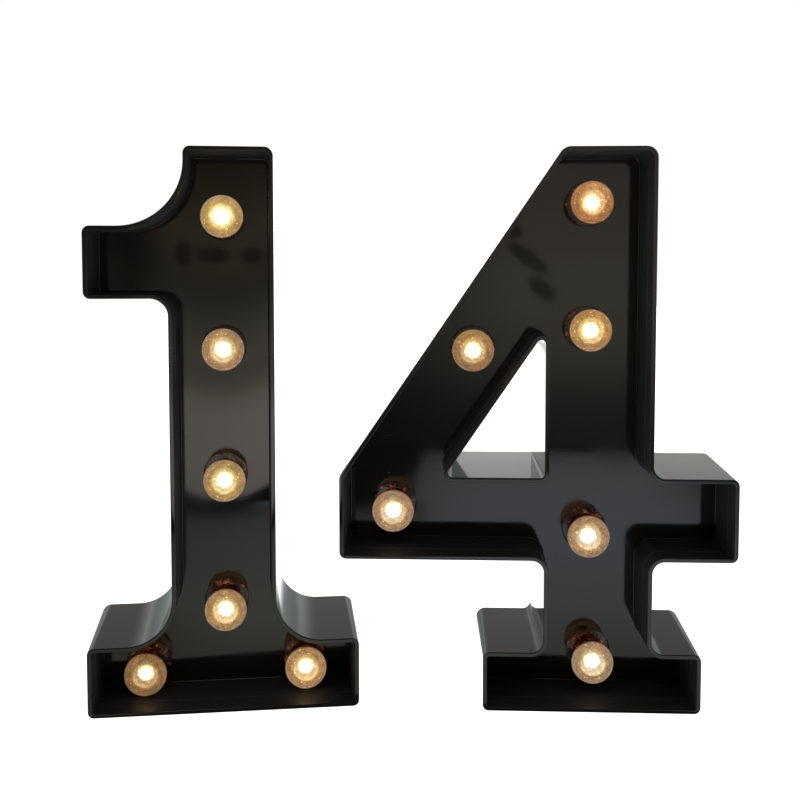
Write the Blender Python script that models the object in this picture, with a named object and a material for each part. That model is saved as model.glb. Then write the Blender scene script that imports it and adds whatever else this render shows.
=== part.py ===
"""Light-up marquee number 14: two free-standing digits, a 1 and a 4, of the same make.

Each digit is a deep black letter shell with a recessed panel. Six clear ball bulbs stand through round
holes in the panel, each with a warm white lamp inside. A back cover carries the battery box with two AA
cells behind a hinged door, a slide switch and a keyhole for hanging.

Each digit is modelled in its own frame: +X to the right, +Y to the back and +Z up, with zero on the middle
line of its stem, on its front face and on the ground. In the comments, u, w and v are these directions.
"""

import math

import bmesh
import bpy
from mathutils import Matrix, Vector

# Sizes that both digits share, in metres
HEIGHT = 0.220
WALL = 0.0017
RECESS = 0.029
PANEL = 0.0016
COVER = 0.0021
GAP = 0.0003
OUTER_DRAFT = math.radians(1.5)
RECESS_DRAFT = math.radians(0.5)
RIM_ROUND = 0.0004
CORNER = 0.0027
SOLE_CORNER = 0.0024
OVERRUN = 0.002
ARC_STEP = 0.0005
LEAST_RADIUS = 0.0002
SAME_PLANE = math.radians(0.1)

# The 1
ONE_STEM = 0.0402
ONE_FOOT = 0.1052
ONE_FOOT_RISE = 0.0275
ONE_SHOULDER = 0.0139
ONE_FLAG_REACH = 0.0515
ONE_FLAG_DROP = 0.0302
ONE_FLAG = 0.0276
ONE_SWEEP = 0.0252
ONE_FOOT_SWEEP = 0.018
ONE_FLAG_FILLET = 0.0069
ONE_TOP_CORNER = 0.0036
ONE_TOP_BULB_DROP = 0.026
ONE_LOW_BULB_RISE = 0.0365
ONE_FOOT_BULB_INSET = 0.0206
ONE_FOOT_BULB_RISE = 0.0114

# The 4
FOUR_STEM = 0.0419
FOUR_FOOT_LEFT = 0.02355
FOUR_FOOT_RIGHT = 0.01935
FOUR_FOOT_RISE = 0.0235
FOUR_BAR_BOTTOM = 0.060
FOUR_BAR_TOP = 0.0926
FOUR_BAR_RIGHT = 0.0328
FOUR_BAR_LEFT = 0.0799
FOUR_SHOULDER = 0.01446
FOUR_STROKE = 0.0339
FOUR_FILLET = 0.0048
FOUR_TOP_CORNER = 0.0044
FOUR_TIP_CORNER = 0.004
FOUR_HOLE_CORNER = 0.0018
FOUR_STEM_BULB_SHIFT = 0.0021
FOUR_TOP_BULB_DROP = 0.0205
FOUR_SECOND_BULB_SHARE = 0.4435
FOUR_STROKE_BULB_SHARE = 0.38
FOUR_STROKE_BULB_INSET = 0.0195
FOUR_BAR_BULB_INSET = 0.0204
FOUR_BAR_BULB_RISE = 0.0161
FOUR_CROSS_BULB_RISE = 0.0064
FOUR_FOOT_BULB_RISE = 0.015

# How the two digits stand: each is turned a little towards the viewer
ONE_PLACE = (-0.07136, -0.02596)
ONE_TURN = math.radians(7.0)
FOUR_PLACE = (0.07394, -0.02626)
FOUR_TURN = math.radians(-2.5)

# Bulb: a clear ball on a hollow neck, put through the panel from behind up to its flange
BALL_RADIUS = 0.0084
BALL_BEHIND_RIM = 0.0145
BULB_HOLE_CLEARANCE = 0.0004
NECK_RADIUS = 0.006
BORE_RADIUS = 0.0037
FLANGE_RADIUS = 0.0093
FLANGE = 0.0012

# Lamp inside the bulb: a 5 mm diode on a post with a round base
LAMP_RADIUS = 0.0025
LAMP_BODY = 0.0086
LAMP_POST_RADIUS = 0.0013

# Screw posts behind the panel, and the screws
POST_RADIUS = 0.003
SCREW_RADIUS = 0.0011
SCREW_LENGTH = 0.009
SCREW_HEAD_RADIUS = 0.0026
SCREW_HEAD = 0.0011
SCREW_SINK = 0.0001
POST_FROM_EDGE = 0.008

# AA cells, their contacts and the battery box
CELL_DIAMETER = 0.0145
CELL_LENGTH = 0.0505
CELL_NUB = 0.001
CELL_NUB_RADIUS = 0.00275
CELL_BEVEL = 0.0006
CELL_SPACING = 0.0004
CONTACT = 0.0005
CONTACT_INSET = 0.00275
TAIL_WIDTH = 0.0025
TAIL_REACH = 0.0025
SPRING_LENGTH = 0.0034
SPRING_WIRE = 0.0006
SPRING_BASE_RADIUS = 0.0038
SPRING_TIP_RADIUS = 0.0022
BOX_WALL = 0.0012
BOX_FLOOR = 0.001

# Battery door
LEDGE = 0.0006
TAB_WIDTH = 0.002
TAB_THICKNESS = 0.0014
TAB_REACH = 0.0016
TAB_ROOT = 0.0014
NOTCH_ROOM = 0.0006
LATCH_WIDTH = 0.007
LATCH_DEPTH = 0.0029
LATCH_THICKNESS = 0.001
LATCH_ROOM = 0.0004
GRIP_WIDTH = 0.012
GRIP_GROOVE = 0.0008
GRIP_SPACING = 0.0018
GRIP_DEPTH = 0.0004
GRIP_FROM_TOP = 0.004

# Slide switch
SWITCH_LONG = 0.012
SWITCH_WIDE = 0.006
SWITCH_DEEP = 0.0046
SWITCH_TRAVEL = 0.003
LEVER = 0.0024
LEVER_DEPTH = 0.0028
THUMB = 0.004
THUMB_SINK = 0.0002
SWITCH_OVER_TAILS = 0.009

# Keyhole in the back cover
KEYHOLE_RADIUS = 0.0042
KEYHOLE_SLOT = 0.0038
KEYHOLE_RUN = 0.008
KEYHOLE_DROP = 0.024

# Wires
WIRE = 0.0012
WIRE_ROOM = 0.0003
WIRE_SIDE = 0.0135
WIRE_BEND = 0.005

# Layers from the front to the back: the case is as deep as its panel, lamps, wires and cells need
PANEL_BACK = RECESS + PANEL
FLANGE_FRONT = PANEL_BACK + GAP
FLANGE_BACK = FLANGE_FRONT + FLANGE
WIRE_LAYER = FLANGE_BACK + GAP + WIRE / 2
BOX_FLOOR_FRONT = WIRE_LAYER + WIRE / 2 + WIRE_ROOM
CELL_LAYER = BOX_FLOOR_FRONT + BOX_FLOOR + GAP + CELL_DIAMETER / 2
COVER_FRONT = CELL_LAYER + CELL_DIAMETER / 2 + GAP
DEPTH = COVER_FRONT + COVER

BULB_HOLE_RADIUS = BALL_RADIUS + BULB_HOLE_CLEARANCE
PILOT_RADIUS = SCREW_RADIUS + GAP
POST_BACK = COVER_FRONT - GAP
BOX_WIDE = 2 * CELL_DIAMETER + 3 * CELL_SPACING
BOX_LONG = 4 * GAP + 2 * CONTACT + CELL_LENGTH + SPRING_LENGTH
CELL_SIDE = (CELL_DIAMETER + CELL_SPACING) / 2
CONTACT_WIDTH = CELL_DIAMETER - 2 * CONTACT_INSET
TAB_SIDE = BOX_WIDE / 2 - 2 * GAP - TAB_WIDTH / 2
ALONG_W = Matrix.Rotation(math.pi / 2, 3, "X")
FULL_SIDE_SHARE = 0.98


def back_growth(w):
    """How much wider each side of the case is at depth w than at its front, by the draft of the mould."""
    return w * math.tan(OUTER_DRAFT)


def finish(name, colour, roughness, metallic=0.0, emission=0.0, transmission=0.0):
    """A plain Principled material."""
    material = bpy.data.materials.new(name)
    material.use_nodes = True
    shader = material.node_tree.nodes["Principled BSDF"]
    shader.inputs["Base Color"].default_value = (*colour, 1.0)
    shader.inputs["Roughness"].default_value = roughness
    shader.inputs["Metallic"].default_value = metallic
    shader.inputs["Emission Color"].default_value = (*colour, 1.0)
    shader.inputs["Emission Strength"].default_value = emission
    shader.inputs["Transmission Weight"].default_value = transmission
    return material


def add_object(name, mesh, material, parent, at=(0.0, 0.0, 0.0)):
    """An object at a place in its digit's frame."""
    if material:
        mesh.materials.clear()
        mesh.materials.append(material)
    thing = bpy.data.objects.new(name, mesh)
    thing.parent = parent
    thing.location = at
    bpy.context.scene.collection.objects.link(thing)
    return thing


def mesh_from(bm, name, smooth_angle=None):
    """A mesh of a closed bmesh with its faces turned outwards."""
    bmesh.ops.remove_doubles(bm, verts=bm.verts, dist=LEAST_RADIUS / 100)
    bmesh.ops.recalc_face_normals(bm, faces=bm.faces)
    mesh = bpy.data.meshes.new(name)
    bm.to_mesh(mesh)
    bm.free()
    if smooth_angle:
        mesh.shade_smooth()
        mesh.set_sharp_from_angle(angle=smooth_angle)
    return mesh


def boolean(thing, cutter_mesh, operation):
    """Adds or cuts a helper mesh that stands in the same place as the object."""
    name = f"{thing.name}_{operation.lower()}_{len(thing.modifiers)}"
    cutter = add_object(name, cutter_mesh, None, thing.parent)
    cutter.location = thing.location
    cutter.hide_render = True
    cutter.display_type = "WIRE"
    modifier = thing.modifiers.new(operation.title(), "BOOLEAN")
    modifier.operation = operation
    modifier.solver = "EXACT"
    modifier.object = cutter


def box_into(bm, low, high):
    """Adds a box between two corners to a bmesh."""
    low, high = Vector(low), Vector(high)
    made = bmesh.ops.create_cube(bm, size=1.0)
    bmesh.ops.scale(bm, vec=high - low, verts=made["verts"])
    bmesh.ops.translate(bm, vec=(low + high) / 2, verts=made["verts"])


def boxes(name, pairs):
    """One mesh of several boxes that stand apart."""
    bm = bmesh.new()
    for low, high in pairs:
        box_into(bm, low, high)
    return mesh_from(bm, name)


def turned(name, profile, segments, axis="w", smooth_angle=math.radians(40)):
    """A closed round piece: a profile of (radius, place along the axis) spun about the w or v axis."""
    bm = bmesh.new()
    along_w = axis == "w"
    points = [Vector((r, a, 0.0)) if along_w else Vector((r, 0.0, a)) for r, a in profile]
    verts = [bm.verts.new(p) for p in points]
    edges = [bm.edges.new(pair) for pair in zip(verts, verts[1:])]
    about = Vector((0.0, 1.0, 0.0)) if along_w else Vector((0.0, 0.0, 1.0))
    bmesh.ops.spin(bm, geom=verts + edges, cent=(0.0, 0.0, 0.0), axis=about, angle=math.tau, steps=segments,
                   use_merge=True)
    return mesh_from(bm, name, smooth_angle)


def rods(name, centres, radius, start, end, segments):
    """One mesh of equal cylinders along w, at several (u, v) places."""
    bm = bmesh.new()
    for u, v in centres:
        made = bmesh.ops.create_cone(bm, cap_ends=True, segments=segments, radius1=radius, radius2=radius,
                                     depth=end - start)
        bmesh.ops.rotate(bm, verts=made["verts"], cent=(0.0, 0.0, 0.0), matrix=ALONG_W)
        bmesh.ops.translate(bm, verts=made["verts"], vec=(u, (start + end) / 2, v))
    return mesh_from(bm, name, math.radians(40))


def offset_corners(corners, grow, sole):
    """Sharp corners of an outline after each side moved out by grow, and a side on the ground by sole."""
    points = [Vector(c[:2]) for c in corners]
    moved = []
    for i, here in enumerate(points):
        before, after = points[i - 1], points[(i + 1) % len(points)]
        d1, d2 = (here - before).normalized(), (after - here).normalized()
        g1 = sole if before.y == 0.0 == here.y else grow
        g2 = sole if here.y == 0.0 == after.y else grow
        shift1, shift2 = Vector((d1.y, -d1.x)) * g1, Vector((d2.y, -d2.x)) * g2
        across = d1.x * d2.y - d1.y * d2.x
        gap = shift2 - shift1
        moved.append(here + shift1 + d1 * ((gap.x * d2.y - gap.y * d2.x) / across))
    return moved


def rounded_outline(corners, grow=0.0, sole=0.0):
    """Points of an outline of (u, v, radius) corners, anticlockwise, its sides moved out and corners rounded.

    A hole's outline runs clockwise. The number of points doesn't depend on grow, so outlines can be lofted."""
    points = offset_corners(corners, grow, sole)
    count = len(points)
    turns, radii, reach = [], [], []
    for i, here in enumerate(points):
        d1 = (here - points[i - 1]).normalized()
        d2 = (points[(i + 1) % count] - here).normalized()
        turn = math.atan2(d1.x * d2.y - d1.y * d2.x, d1.dot(d2))
        radius = max(corners[i][2] + math.copysign(grow, turn * grow), LEAST_RADIUS)
        turns.append(turn)
        radii.append(radius)
        reach.append(radius * math.tan(abs(turn) / 2))
    outline = []
    for i, here in enumerate(points):
        room = 1.0
        for j in (i - 1, (i + 1) % count):
            side = (points[j] - here).length
            room = min(room, side * FULL_SIDE_SHARE / (reach[i] + reach[j]))
        radius, length = radii[i] * room, reach[i] * room
        d1 = (here - points[i - 1]).normalized()
        start = here - d1 * length
        inward = Vector((-d1.y, d1.x)) * math.copysign(1.0, turns[i])
        centre = start + inward * radius
        steps = 1 + round(math.sqrt(corners[i][2] / ARC_STEP) * abs(turns[i]) / (math.pi / 2))
        spoke = start - centre
        for k in range(steps + 1):
            a = turns[i] * k / steps
            outline.append(centre + Vector((spoke.x * math.cos(a) - spoke.y * math.sin(a),
                                            spoke.x * math.sin(a) + spoke.y * math.cos(a))))
    return outline


def lofted(name, contours, levels, smooth_angle=math.radians(30)):
    """A closed body skinned over levels of (depth, grow, sole), flat at both ends."""
    bm = bmesh.new()
    ends = [[], []]
    for corners in contours:
        rings = []
        for w, grow, sole in levels:
            rings.append([bm.verts.new((p.x, w, p.y)) for p in rounded_outline(corners, grow, sole)])
        for ring, following in zip(rings, rings[1:]):
            for i in range(len(ring)):
                bm.faces.new((ring[i - 1], ring[i], following[i], following[i - 1]))
        for end, ring in zip(ends, (rings[0], rings[-1])):
            end += [bm.edges.get((ring[i - 1], ring[i])) for i in range(len(ring))]
    for end in ends:
        made = bmesh.ops.triangle_fill(bm, use_beauty=True, use_dissolve=False, edges=end)["geom"]
        inner = [item for item in made if isinstance(item, bmesh.types.BMEdge) and item not in end]
        bmesh.ops.dissolve_limit(bm, angle_limit=SAME_PLANE, verts=[], edges=inner)
    return mesh_from(bm, name, smooth_angle)


def smooth_route(points, steps):
    """A smooth curve through the given points, which never lies in front of the wires' layer."""
    padded = [points[0]] + points + [points[-1]]
    route = []
    for a, b, c, d in zip(padded, padded[1:], padded[2:], padded[3:]):
        length = (c - b).length
        leave = (c - a) * (length / (length + (b - a).length))
        arrive = (d - b) * (length / (length + (d - c).length))
        for k in range(steps):
            t = k / steps
            ease = t * t * (3 - 2 * t)
            route.append(b.lerp(c, ease) + leave * (t * (1 - t) ** 2) - arrive * (t * t * (1 - t)))
    route.append(points[-1])
    return [Vector((p.x, max(p.y, WIRE_LAYER), p.z)) for p in route]


def tube_mesh(name, route, radius):
    """A round tube with closed ends along a route."""
    curve = bpy.data.curves.new(name, "CURVE")
    curve.dimensions = "3D"
    curve.bevel_depth = radius
    curve.bevel_resolution = 1
    curve.use_fill_caps = True
    spline = curve.splines.new("POLY")
    spline.points.add(len(route) - 1)
    for point, place in zip(spline.points, route):
        point.co = (*place, 1.0)
    helper = bpy.data.objects.new(name, curve)
    mesh = bpy.data.meshes.new_from_object(helper)
    bpy.data.objects.remove(helper)
    bm = bmesh.new()
    bm.from_mesh(mesh)
    bpy.data.meshes.remove(mesh)
    return mesh_from(bm, name, math.radians(60))


def make_shell(digit, contours, bulbs, posts, black):
    """The letter shell: outer walls, recessed panel with its holes, and the screw posts behind the panel."""
    recess_in = WALL + RECESS * math.tan(RECESS_DRAFT)
    levels = [
        (RECESS, -recess_in, -recess_in),
        (0.0, -WALL, -WALL),
        (0.0, -RIM_ROUND, -RIM_ROUND),
        (RIM_ROUND, back_growth(RIM_ROUND), 0.0),
        (DEPTH, back_growth(DEPTH), 0.0),
        (DEPTH, back_growth(DEPTH) - WALL, -WALL),
        (PANEL_BACK, back_growth(PANEL_BACK) - WALL, -WALL),
    ]
    shell = add_object(f"{digit.name}_shell", lofted("shell", contours, levels), black, digit)
    boolean(shell, rods("posts", posts, POST_RADIUS, RECESS + PANEL / 2, POST_BACK, 12), "UNION")
    boolean(shell, rods("bulb_holes", bulbs, BULB_HOLE_RADIUS, RECESS - OVERRUN, PANEL_BACK + OVERRUN, 24),
            "DIFFERENCE")
    pilot_end = COVER_FRONT - SCREW_LENGTH
    boolean(shell, rods("pilots", posts, PILOT_RADIUS, pilot_end, POST_BACK + OVERRUN, 8), "DIFFERENCE")


def bulb_mesh():
    """A clear ball whose neck and flange are bored out from behind for the lamp."""
    last = math.pi - math.asin(NECK_RADIUS / BALL_RADIUS)
    steps = 6
    angles = [last * k / steps for k in range(steps + 1)]
    profile = [(BALL_RADIUS * math.sin(a), BALL_BEHIND_RIM - BALL_RADIUS * math.cos(a)) for a in angles]
    bore_end = BALL_BEHIND_RIM - LAMP_RADIUS
    profile += [
        (NECK_RADIUS, FLANGE_FRONT),
        (FLANGE_RADIUS, FLANGE_FRONT),
        (FLANGE_RADIUS, FLANGE_BACK),
        (BORE_RADIUS, FLANGE_BACK),
        (BORE_RADIUS, bore_end + BORE_RADIUS / 2),
        (BORE_RADIUS / 2, bore_end),
        (0.0, bore_end),
    ]
    return turned("bulb", profile, 12)


def lamp_mesh():
    """A diode with its dome in the middle of the ball, on a post with a round base in the bore's mouth."""
    tip = BALL_BEHIND_RIM - LAMP_RADIUS / 2
    body_back = tip + LAMP_BODY
    base_radius = BORE_RADIUS - GAP
    dome_steps = 2
    profile = [(LAMP_RADIUS * math.sin(a), tip + LAMP_RADIUS * (1 - math.cos(a)))
               for a in (math.pi / 2 * k / dome_steps for k in range(dome_steps + 1))]
    profile += [
        (LAMP_RADIUS, body_back),
        (LAMP_POST_RADIUS, body_back),
        (LAMP_POST_RADIUS, FLANGE_FRONT),
        (base_radius, FLANGE_FRONT),
        (base_radius, FLANGE_BACK),
        (0.0, FLANGE_BACK),
    ]
    return turned("lamp", profile, 8)


def screw_mesh():
    """A pan head screw along w."""
    head_back = DEPTH - SCREW_SINK
    head_front = head_back - SCREW_HEAD
    profile = [
        (0.0, COVER_FRONT - SCREW_LENGTH + GAP),
        (SCREW_RADIUS, COVER_FRONT - SCREW_LENGTH + GAP),
        (SCREW_RADIUS, head_front),
        (SCREW_HEAD_RADIUS, head_front),
        (SCREW_HEAD_RADIUS, head_back),
        (0.0, head_back),
    ]
    return turned("screw", profile, 8)


def cell_mesh():
    """An AA cell along v, its plus nub on top."""
    radius, top = CELL_DIAMETER / 2, CELL_LENGTH - CELL_NUB
    profile = [
        (0.0, 0.0),
        (radius - CELL_BEVEL, 0.0),
        (radius, CELL_BEVEL),
        (radius, top - CELL_BEVEL),
        (radius - CELL_BEVEL, top),
        (CELL_NUB_RADIUS, top),
        (CELL_NUB_RADIUS, CELL_LENGTH),
        (0.0, CELL_LENGTH),
    ]
    return turned("cell", profile, 12, axis="v")


def spring_mesh(u, start, direction):
    """A conical spring along v on a contact, wound in one unbroken wire."""
    turns, per_turn = 3, 7
    length = SPRING_LENGTH - SPRING_WIRE / 2
    route = []
    for k in range(turns * per_turn + 1):
        share = k / (turns * per_turn)
        radius = SPRING_BASE_RADIUS + (SPRING_TIP_RADIUS - SPRING_BASE_RADIUS) * share
        a = math.tau * k / per_turn
        route.append(Vector((u + radius * math.cos(a), CELL_LAYER + radius * math.sin(a),
                             start + direction * length * share)))
    return tube_mesh("spring", route, SPRING_WIRE / 2)


def contact(digit, name, centre, half_wide, at, direction, tails, springs, metal):
    """A contact plate across the end of the battery box, with its tails through the wall and its springs."""
    low, high = CELL_LAYER - CONTACT_WIDTH / 2, CELL_LAYER + CONTACT_WIDTH / 2
    face, rear = sorted((at, at - direction * CONTACT))
    plate = boxes("plate", [((centre - half_wide, low, face), (centre + half_wide, high, rear))])
    thing = add_object(f"{digit.name}_{name}", plate, metal, digit)
    for u in tails:
        tip = at - direction * (CONTACT + GAP + BOX_WALL + TAIL_REACH)
        foot, top = sorted((at - direction * CONTACT / 2, tip))
        half = TAIL_WIDTH / 2
        boolean(thing, boxes("tail", [((u - half, low, foot), (u + half, low + CONTACT, top))]), "UNION")
    for u in springs:
        boolean(thing, spring_mesh(u, at, direction), "UNION")


def make_power(digit, box_foot, metal, cell_finish):
    """Two AA cells side by side, one of them upside down, between their contacts."""
    foot, top = box_foot + GAP + CONTACT, box_foot + BOX_LONG - GAP - CONTACT
    half = CONTACT_WIDTH / 2
    contact(digit, "contact_plus", -CELL_SIDE, half, top, -1, [-CELL_SIDE], [], metal)
    contact(digit, "contact_minus", CELL_SIDE, half, top, -1, [CELL_SIDE], [CELL_SIDE], metal)
    contact(digit, "contact_bridge", 0.0, CELL_SIDE + half, foot, 1, [], [-CELL_SIDE], metal)
    mesh = cell_mesh()
    add_object(f"{digit.name}_battery_1", mesh, cell_finish, digit,
               (-CELL_SIDE, CELL_LAYER, top - GAP - CELL_LENGTH))
    second = add_object(f"{digit.name}_battery_2", mesh, cell_finish, digit,
                        (CELL_SIDE, CELL_LAYER, foot + GAP + CELL_LENGTH))
    second.rotation_euler.x = math.pi


def box_outline(grow, box_foot):
    """Corners of the battery box in u and v, moved out by grow."""
    half = BOX_WIDE / 2 + grow
    return -half, half, box_foot - grow, box_foot + BOX_LONG + grow


def make_cover(digit, contours, posts, box_foot, switch_rise, black):
    """The back cover with its battery box, screw holes, switch slot and keyhole."""
    fit = back_growth(COVER_FRONT) - WALL - GAP
    levels = [(COVER_FRONT, fit, -WALL - GAP), (DEPTH, fit, -WALL - GAP)]
    cover = add_object(f"{digit.name}_back_cover", lofted("back_cover", contours, levels), black, digit)

    left, right, low, high = box_outline(BOX_WALL, box_foot)
    body = boxes("box", [((left, BOX_FLOOR_FRONT, low), (right, COVER_FRONT + COVER / 2, high))])
    boolean(cover, body, "UNION")
    left, right, low, high = box_outline(0.0, box_foot)
    room = boxes("box_room", [((left, BOX_FLOOR_FRONT + BOX_FLOOR, low), (right, DEPTH + OVERRUN, high))])
    boolean(cover, room, "DIFFERENCE")
    left, right, low, high = box_outline(LEDGE, box_foot)
    seat = boxes("door_seat", [((left, COVER_FRONT, low), (right, DEPTH + OVERRUN, high))])
    boolean(cover, seat, "DIFFERENCE")

    cuts = []
    for side in (-1, 1):
        u = side * TAB_SIDE
        notch_front = DEPTH - COVER - GAP - TAB_THICKNESS - NOTCH_ROOM
        cuts.append(((u - TAB_WIDTH / 2 - GAP, notch_front, box_foot - BOX_WALL - OVERRUN),
                     (u + TAB_WIDTH / 2 + GAP, COVER_FRONT + GAP, box_foot + OVERRUN)))
        u = side * CELL_SIDE
        tail_front = CELL_LAYER - CONTACT_WIDTH / 2
        end = box_foot + BOX_LONG
        cuts.append(((u - TAIL_WIDTH / 2 - GAP, tail_front - GAP, end - OVERRUN),
                     (u + TAIL_WIDTH / 2 + GAP, tail_front + CONTACT + GAP, end + BOX_WALL + OVERRUN)))
    half = THUMB / 2 + GAP
    cuts.append(((-half, COVER_FRONT - OVERRUN, switch_rise - SWITCH_TRAVEL / 2 - half),
                 (half, DEPTH + OVERRUN, switch_rise + SWITCH_TRAVEL / 2 + half)))
    boolean(cover, boxes("cuts", cuts), "DIFFERENCE")

    front, back = COVER_FRONT - OVERRUN, DEPTH + OVERRUN
    boolean(cover, rods("screw_holes", posts, PILOT_RADIUS, front, back, 8), "DIFFERENCE")
    seat = DEPTH - SCREW_SINK - SCREW_HEAD - GAP
    boolean(cover, rods("head_seats", posts, SCREW_HEAD_RADIUS + GAP, seat, back, 12), "DIFFERENCE")

    keyhole = HEIGHT - KEYHOLE_DROP
    boolean(cover, rods("keyhole", [(0.0, keyhole)], KEYHOLE_RADIUS, front, back, 16), "DIFFERENCE")
    slot = boxes("keyhole_slot", [((-KEYHOLE_SLOT / 2, front, keyhole),
                                   (KEYHOLE_SLOT / 2, back, keyhole + KEYHOLE_RUN))])
    boolean(cover, slot, "DIFFERENCE")


def make_door(digit, box_foot, black):
    """The battery door, hung at its foot on two hooked tabs. It tilts about the line through its origin."""
    left, right, low, high = box_outline(LEDGE - GAP, box_foot)
    front = COVER_FRONT + GAP - DEPTH
    long = high - low
    plate = boxes("door", [((left, front, 0.0), (right, 0.0, long))])
    door = add_object(f"{digit.name}_battery_door", plate, black, digit, (0.0, DEPTH, low))
    tab_back = -COVER - GAP
    tab_front = tab_back - TAB_THICKNESS
    tabs = []
    for side in (-1, 1):
        u = side * TAB_SIDE
        tabs.append(((u - TAB_WIDTH / 2, tab_front, LEDGE), (u + TAB_WIDTH / 2, front / 2, TAB_ROOT)))
    latch_top = long - LEDGE + GAP - LATCH_ROOM
    tabs.append(((-LATCH_WIDTH / 2, front - LATCH_DEPTH, latch_top - LATCH_THICKNESS),
                 (LATCH_WIDTH / 2, front / 2, latch_top)))
    boolean(door, boxes("roots", tabs), "UNION")
    hooks = []
    for side in (-1, 1):
        left, right = side * TAB_SIDE - TAB_WIDTH / 2, side * TAB_SIDE + TAB_WIDTH / 2
        hooks.append(((left, tab_front, -TAB_REACH), (right, tab_back, TAB_ROOT / 2)))
    boolean(door, boxes("hooks", hooks), "UNION")
    grooves = []
    for k in range(3):
        v = long - GRIP_FROM_TOP - k * GRIP_SPACING
        grooves.append(((-GRIP_WIDTH / 2, -GRIP_DEPTH, v - GRIP_GROOVE), (GRIP_WIDTH / 2, OVERRUN, v)))
    boolean(door, boxes("grip", grooves), "DIFFERENCE")


def make_switch(digit, switch_rise, metal, black):
    """The slide switch behind the cover, and its knob, which rests at the top of its slot."""
    back = COVER_FRONT - GAP
    half_wide, half_long = SWITCH_WIDE / 2, SWITCH_LONG / 2
    case = boxes("switch_body", [((-half_wide, back - SWITCH_DEEP, switch_rise - half_long),
                                  (half_wide, back, switch_rise + half_long))])
    body = add_object(f"{digit.name}_switch_body", case, metal, digit)
    room = LEVER / 2 + GAP
    reach = SWITCH_TRAVEL / 2 + room
    boolean(body, boxes("lever_room", [((-room, back - LEVER_DEPTH - GAP, switch_rise - reach),
                                        (room, back + OVERRUN, switch_rise + reach))]), "DIFFERENCE")
    half = LEVER / 2
    thumb_front = GAP
    knob = add_object(f"{digit.name}_switch_knob", boxes("knob", [
        ((-THUMB / 2, thumb_front, -THUMB / 2), (THUMB / 2, COVER - THUMB_SINK, THUMB / 2))]),
        black, digit, (0.0, COVER_FRONT, switch_rise + SWITCH_TRAVEL / 2))
    boolean(knob, boxes("lever", [((-half, -GAP - LEVER_DEPTH, -half), (half, COVER / 2, half))]), "UNION")


def make_wires(digit, bulbs, route, box_foot, switch_rise, red, white):
    """The supply wire from the plus contact to the switch, and the lamp wire on past every lamp and back."""
    tail_tip = box_foot + BOX_LONG + BOX_WALL + TAIL_REACH
    tail_layer = CELL_LAYER - CONTACT_WIDTH / 2 + CONTACT / 2
    switch_front = COVER_FRONT - GAP - SWITCH_DEEP - GAP
    near = switch_rise - SWITCH_LONG / 4
    far = switch_rise + SWITCH_LONG / 4
    supply = [
        Vector((-CELL_SIDE, tail_layer, tail_tip + GAP)),
        Vector((-CELL_SIDE, tail_layer, tail_tip + TAIL_REACH)),
        Vector((0.0, tail_layer, near)),
        Vector((0.0, switch_front, near)),
    ]
    tube = tube_mesh("supply_wire", smooth_route(supply, 4), WIRE / 2)
    add_object(f"{digit.name}_supply_wire", tube, red, digit)
    start = (route[0][0] + WIRE_BEND, route[0][1])
    half_way = midway((0.0, far), start)
    lamps = [
        Vector((0.0, switch_front, far)),
        Vector((0.0, tail_layer, far)),
        Vector((half_way[0], (tail_layer + WIRE_LAYER) / 2, half_way[1])),
    ]
    lamps += [Vector((u, WIRE_LAYER, v)) for u, v in [start] + route]
    lamps += [
        Vector((WIRE_SIDE, WIRE_LAYER, tail_tip)),
        Vector((CELL_SIDE, tail_layer, tail_tip + 2 * TAIL_REACH)),
        Vector((CELL_SIDE, tail_layer, tail_tip + GAP)),
    ]
    tube = tube_mesh("lamp_wire", smooth_route(lamps, 4), WIRE / 2)
    add_object(f"{digit.name}_lamp_wire", tube, white, digit)


def one_outline():
    """The 1 as (u, v, radius) corners, anticlockwise from the right of its foot."""
    stem, foot = ONE_STEM / 2, ONE_FOOT / 2
    flag_top = HEIGHT - ONE_FLAG_DROP
    flag_bottom = flag_top - ONE_FLAG
    return [
        (foot, 0.0, SOLE_CORNER),
        (foot, ONE_FOOT_RISE, CORNER),
        (stem, ONE_FOOT_RISE, ONE_FOOT_SWEEP),
        (stem, HEIGHT, ONE_TOP_CORNER),
        (-ONE_SHOULDER, HEIGHT, CORNER),
        (-ONE_SHOULDER, flag_top, ONE_SWEEP),
        (-ONE_FLAG_REACH, flag_top, CORNER),
        (-ONE_FLAG_REACH, flag_bottom, CORNER),
        (-stem, flag_bottom, ONE_FLAG_FILLET),
        (-stem, ONE_FOOT_RISE, ONE_FOOT_SWEEP),
        (-foot, ONE_FOOT_RISE, CORNER),
        (-foot, 0.0, SOLE_CORNER),
    ]


def four_slope():
    """The angle of the stroke, which runs from the bar's left end to the shoulder at the top."""
    return math.atan2(HEIGHT - FOUR_BAR_TOP, FOUR_STEM / 2 + FOUR_BAR_LEFT - FOUR_SHOULDER)


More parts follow.
